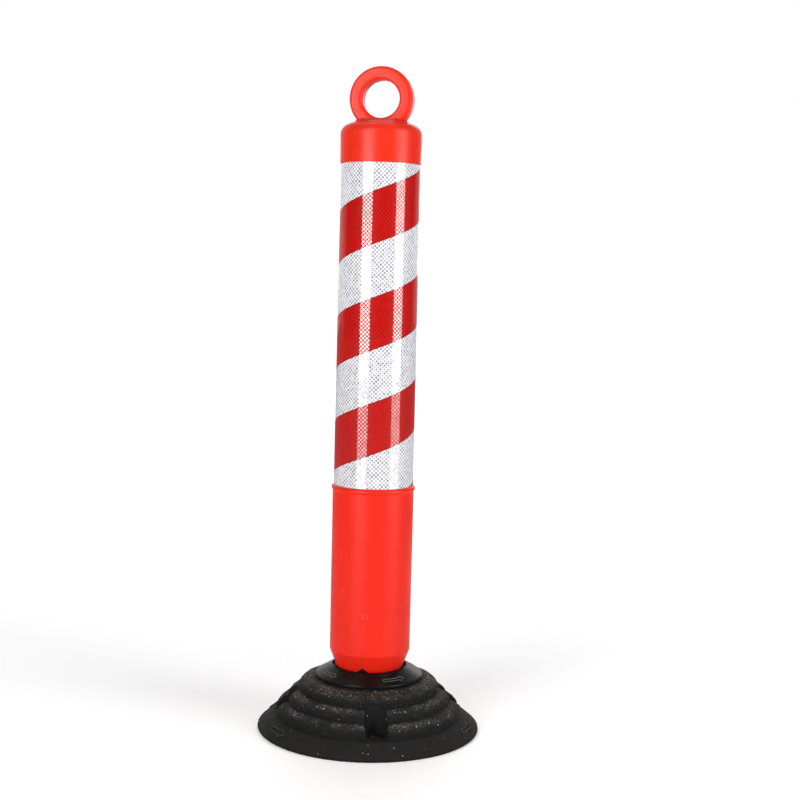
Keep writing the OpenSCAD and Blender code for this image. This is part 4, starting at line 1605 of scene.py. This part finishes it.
@dataclass
class TopCap:
    """The moulded cap with its upright hanging ring."""

    inner: float = 38.9
    skirt: float = 40.2
    shoulder: float = 40.6
    shoulder_height: float = 28.3
    crown: float = 30.5
    crown_rise: float = 11.3
    crown_sweep: float = 76.0
    crown_steps: int = 10
    land: float = 25.2
    land_height: float = 42.8
    hollow: float = 24.0
    eye_outer: float = 31.7
    eye_hole: float = 18.5
    eye_depth: float = 19.0
    eye_ease: float = 4.0

    def build(self) -> None:
        """Builds and dresses the cap."""
        low, high = box_mm("top_cap")
        dome = self.turn_dome(low.z)
        eye = self.turn_eye(high.z - self.eye_outer)
        joined = self.fuse(dome, eye)
        settle_on(joined, Body.POST, Slot.TUBE, "top_cap")
        self.raise_marks(low.z)

    def turn_dome(self, low: float) -> bpy.types.Object:
        """Turns the dome.

        Args:
            low: Its lower edge.

        Returns:
            The dome.
        """
        outline = Outline(steps=5)
        outline.to(self.inner, low).to(self.skirt - 0.1, low, 0.35).to(self.skirt, low + 0.9, 0.3)
        outline.to(self.shoulder, low + self.shoulder_height, 2.0)
        reach, sweep = self.shoulder - self.crown, math.radians(self.crown_sweep)
        for step in range(1, self.crown_steps + 1):
            turn = math.radians(self.crown_sweep * step / self.crown_steps)
            share_out, share_up = (1 - math.cos(turn)) / (1 - math.cos(sweep)), math.sin(turn) / math.sin(sweep)
            outline.to(self.shoulder - reach * share_out,
                       low + self.shoulder_height + self.crown_rise * share_up)
        outline.to(self.land, low + self.land_height, 1.0).to(0, low + self.land_height)
        outline.to(0, low + self.hollow).to(self.inner, low + self.hollow, 1.5)
        return turned_piece("cap", outline, CAP_FINISH, Segments=160)

    def turn_eye(self, centre: float) -> bpy.types.Object:
        """Turns the hanging ring about its own level axis.

        Args:
            centre: Height of its centre.

        Returns:
            The ring.
        """
        half, ease = self.eye_depth / 2, self.eye_ease
        outline = Outline(steps=7, guard=0.5)
        outline.to(self.eye_hole, -half, ease).to(self.eye_outer, -half, ease)
        outline.to(self.eye_outer, half, ease).to(self.eye_hole, half, ease)
        eye = turned_piece("eye", outline, CAP_FINISH, Segments=128)
        eye.data.transform(Matrix.Translation((0, 0, centre * MM)) @ Matrix.Rotation(POST_TURN, 4, "Z")
                           @ Matrix.Rotation(math.pi / 2, 4, "X"))
        face_outwards(eye.data)
        return eye

    def fuse(self, dome: bpy.types.Object, eye: bpy.types.Object) -> bpy.types.Object:
        """Joins the ring to the dome.

        Args:
            dome: The dome.
            eye: The ring.

        Returns:
            The cap as one closed piece.
        """
        union = dome.modifiers.new("Union", "BOOLEAN")
        union.operation, union.object, union.solver = "UNION", eye, "EXACT"
        settled(dome)
        bpy.data.objects.remove(eye)
        dome.name = "top_cap_moulding"
        dome.data.shade_smooth()
        dome.data.set_sharp_from_angle(angle=math.radians(32))
        return dome

    def raise_marks(self, low: float) -> None:
        """Raises the small diamond and the two gate marks on the cap's side.

        Args:
            low: The cap's lower edge.
        """
        side = Slope((self.skirt + 0.05, low + 1.0), (self.shoulder, low + self.shoulder_height))
        marks = [RaisedMark(side, -19.0, 0.95, ring_line(2.6, 4), 0.4),
                 RaisedMark(side, 161.0, 0.95, ring_line(2.6, 4), 0.4),
                 RaisedMark(side, -45.0, 0.98, ring_line(0.7, 8), 0.35)]
        settle_on(raised("cap_mould_marks", marks, MARK_FINISH), Body.POST, Slot.TUBE)


@dataclass
class FootHardware:
    """What locks the post in its foot: plug, spigot, plates, screws, bolts and nuts."""

    screw_ring: float = 47.0
    screws: int = 4
    bolt_ring: float = 9.0
    bolts: int = 3
    stem: float = 3.0
    head_corner: float = 5.77
    head_height: float = 4.0

    def build(self) -> None:
        """Builds and dresses every hidden fitting."""
        for name, node, body, slot, finish in (
            ("plug_flange", "foot_flange", Body.POST, Slot.FOOT, NYLON_FINISH),
            ("plug_spigot", "spigot", Body.POST, Slot.FOOT, NYLON_FINISH),
            ("locking_plate", "lock_plate", Body.BASE, Slot.FOOT, NYLON_FINISH),
            ("inner_plate", "backing_plate", Body.POST, Slot.STEEL, STEEL_FINISH),
        ):
            settle_on(softened_copy(name, node, finish, 0.45), body, slot, node)
        self.set_screws()
        self.set_bolts()

    def set_screws(self) -> None:
        """Sets the lock plate's countersunk screws, heads down."""
        low, high = box_mm("lock_plate_screws")
        length = high.z - low.z
        shank = Outline(steps=3, guard=0.3).to(0, 0).to(3.4, 0, 0.4).to(4.2, 2.5, 0.1).to(1.8, 2.7, 0.1)
        for thread in range(8):
            start = 3.4 + thread * (length - 5.0) / 8
            shank.to(1.8, start).to(2.1, start + 0.5).to(1.8, start + 1.0)
        shank.to(1.7, length - 0.8, 0.4).to(0, length)
        screw = turned_piece("screw", shank, STEEL_FINISH, Segments=24)
        self.ring_of("plate_screws", screw, self.screws, self.screw_ring, low.z, math.pi / 4,
                     Body.BASE, "lock_plate_screws")

    def set_bolts(self) -> None:
        """Sets the foot's hexagon bolts from below and their nuts inside the tube."""
        low, high = box_mm("foot_bolts")
        nut_low, nut_high = box_mm("foot_nuts")
        length = high.z - low.z
        bolt = self.hexagon("bolt", self.head_corner, self.head_height)
        shank = Outline(steps=3, guard=0.3).to(0, 3.6).to(self.stem, 3.6)
        shank.to(self.stem, length - 0.6, 0.4).to(0, length)
        stem = turned_piece("stem", shank, STEEL_FINISH, Segments=24)
        self.ring_of("foot_bolt_set", self.merged(bolt, stem), self.bolts, self.bolt_ring, low.z, FRONT,
                     Body.POST, "foot_bolts")
        nut = self.hexagon("nut", self.head_corner, nut_high.z - nut_low.z)
        self.ring_of("foot_nut_set", nut, self.bolts, self.bolt_ring, nut_low.z, FRONT, Body.POST, "foot_nuts")

    @staticmethod
    def hexagon(name: str, radius: float, height: float) -> bpy.types.Object:
        """A hexagon head with turned-down corners.

        Args:
            name: The object's name.
            radius: Distance to its corners.
            height: Its height.

        Returns:
            The head.
        """
        shell = bmesh.new()
        bmesh.ops.create_cone(shell, cap_ends=True, segments=6, radius1=radius * MM, radius2=radius * MM,
                              depth=height * MM)
        bmesh.ops.translate(shell, verts=shell.verts, vec=(0, 0, height * MM / 2))
        bmesh.ops.bevel(shell, geom=list(shell.edges), offset=0.35 * MM, segments=2, affect="EDGES")
        mesh = bpy.data.meshes.new(name)
        shell.to_mesh(mesh)
        shell.free()
        mesh.materials.append(STEEL_FINISH.material())
        piece = bpy.data.objects.new(name, mesh)
        bpy.context.scene.collection.objects.link(piece)
        return piece

    @staticmethod
    def merged(first: bpy.types.Object, second: bpy.types.Object) -> bpy.types.Object:
        """Puts two shells in one object.

        Args:
            first: The object that is kept.
            second: The object that goes.

        Returns:
            The first object with both shells.
        """
        both = bmesh.new()
        both.from_mesh(first.data)
        both.from_mesh(second.data)
        both.to_mesh(first.data)
        both.free()
        bpy.data.objects.remove(second)
        return first

    @staticmethod
    def ring_of(name: str, pattern: bpy.types.Object, count: int, ring: float, height: float, start: float,
                body: Body, node: str) -> None:
        """Sets copies of a fastener in a ring.

        Args:
            name: The piece's name.
            pattern: One fastener, standing on the origin.
            count: How many.
            ring: Radius of the ring in millimetres.
            height: Height of their lower ends.
            start: Angle of the first from +X, before the post's own turn.
            body: The body that they ride on.
            node: The CAD node that they stand for.
        """
        values = {"Count": count, "Ring Radius": ring * MM, "Height": height * MM,
                  "Start": start + POST_TURN, "Material": STEEL_FINISH.material()}
        piece = grown(name, pattern.data.copy(), shared(ring_of_fasteners_tree), values)
        bpy.data.objects.remove(pattern)
        face_outwards(piece.data, 35.0)
        settle_on(piece, body, Slot.STEEL, node)


# ---------------------------------------------------------------- studio


@dataclass(frozen=True)
class SoftBox:
    """A soft studio light on the floor's stands or overhead."""

    name: str
    azimuth: float
    distance: float
    height: float
    size: tuple[float, float]
    power: float
    aim: float = 0.3

    def hang(self) -> None:
        """Adds the light."""
        turn = math.radians(self.azimuth)
        light = bpy.data.lights.new(self.name, "AREA")
        light.shape, light.size, light.size_y = "RECTANGLE", self.size[0], self.size[1]
        light.energy = self.power
        lamp = bpy.data.objects.new(self.name, light)
        bpy.context.scene.collection.objects.link(lamp)
        lamp.location = (self.distance * math.sin(turn), -self.distance * math.cos(turn), self.height)
        lamp.rotation_euler = (Vector((0, 0, self.aim)) - lamp.location).to_track_quat("-Z", "Y").to_euler()


@dataclass
class Studio:
    """Floor, sky glow, soft boxes and camera."""

    azimuth: float = -5.5
    distance: float = 1.43755
    eye_height: float = 0.46605
    yaw: float = -0.99
    pitch: float = 5.13
    roll: float = 1.42
    lens: float = 64.5045
    front_glow: float = 0.02
    back_glow: float = 0.78
    lights: tuple[SoftBox, ...] = (
        SoftBox("left_box", -41.0, 1.30, 0.84, (0.66, 1.14), 17.5, 0.84),
        SoftBox("left_low_box", -41.0, 1.30, 0.14, (0.66, 0.24), 1.8, 0.14),
        SoftBox("right_box", 55.5, 1.30, 0.84, (0.64, 1.14), 15.5, 0.84),
        SoftBox("right_low_box", 55.5, 1.30, 0.14, (0.64, 0.24), 1.6, 0.14),
        SoftBox("top_box", 180.0, 0.5, 1.9, (1.0, 1.0), 6.0, 0.3),
        SoftBox("back_box", 170.0, 1.7, 1.0, (1.2, 1.2), 8.0, 0.3),
    )

    def build(self) -> None:
        """Sets the whole stage."""
        self.lay_floor()
        self.light_sky()
        for box in self.lights:
            box.hang()
        self.place_camera()
        bpy.context.scene.view_settings.view_transform = "Standard"

    def lay_floor(self) -> None:
        """Lays a wide pale floor just under the foot."""
        mesh = bpy.data.meshes.new("floor")
        reach, drop = 9.0, -0.05 * MM
        corners = [(-reach, -reach, drop), (reach, -reach, drop), (reach, reach, drop), (-reach, reach, drop)]
        mesh.from_pydata(corners, [], [(0, 1, 2, 3)])
        mesh.materials.append(FLOOR_FINISH.material())
        floor = bpy.data.objects.new("floor", mesh)
        bpy.context.scene.collection.objects.link(floor)

    def light_sky(self) -> None:
        """Gives the room a pale glow that is stronger behind the post than in front of it."""
        world = bpy.data.worlds.new("studio_glow")
        bpy.context.scene.world = world
        world.use_nodes = True
        world.node_tree.nodes.clear()
        sheet = NodeSheet(world.node_tree)
        looking = sheet.out("ShaderNodeTexCoord", "Generated")
        depth = sheet.add("ShaderNodeSeparateXYZ", {0: looking}).outputs["Y"]
        glow = sheet.span(depth, 0.35, 0.85, self.front_glow, self.back_glow)
        seen = sheet.out("ShaderNodeLightPath", "Is Camera Ray")
        strength = sheet.math("ADD", sheet.math("MULTIPLY", glow, sheet.math("SUBTRACT", 1.0, seen)), seen)
        sky = sheet.add("ShaderNodeBackground", {"Color": (1.0, 1.0, 1.0, 1.0), "Strength": strength})
        sheet.add("ShaderNodeOutputWorld", {"Surface": sky.outputs[0]})

    def place_camera(self) -> None:
        """Places the camera at its height, turned, tipped and rolled."""
        turn = math.radians(self.azimuth)
        ahead = Vector((-math.sin(turn), math.cos(turn), 0.0))
        level = Matrix.Rotation(math.radians(self.yaw), 3, "Z") @ ahead
        tip, roll = math.radians(self.pitch), math.radians(self.roll)
        right = Vector((level.y, -level.x, 0.0))
        look = level * math.cos(tip) - Vector((0, 0, math.sin(tip)))
        above = right.cross(look)
        side = right * math.cos(roll) + above * math.sin(roll)
        crown = above * math.cos(roll) - right * math.sin(roll)
        basis = Matrix((side, crown, -look)).transposed()
        camera = bpy.data.cameras.new("camera")
        camera.lens, camera.sensor_width = self.lens, 36.0
        holder = bpy.data.objects.new("camera", camera)
        bpy.context.scene.collection.objects.link(holder)
        spot = Vector((math.sin(turn) * self.distance, -math.cos(turn) * self.distance, self.eye_height))
        holder.matrix_world = Matrix.Translation(spot) @ basis.to_4x4()
        bpy.context.scene.camera = holder


def report_size() -> None:
    """Updates the view layer.
    """
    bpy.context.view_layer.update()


def main() -> None:
    """Builds the post from the foot up, then the studio."""
    logging.basicConfig(level=logging.INFO, format="%(name)s: %(message)s")
    for assembly in (RubberFoot(), LockingCollar(), PostTube(), Sheeting(), TopCap(), FootHardware(), Studio()):
        assembly.build()
    report_size()


if __name__ == "__main__":
    main()
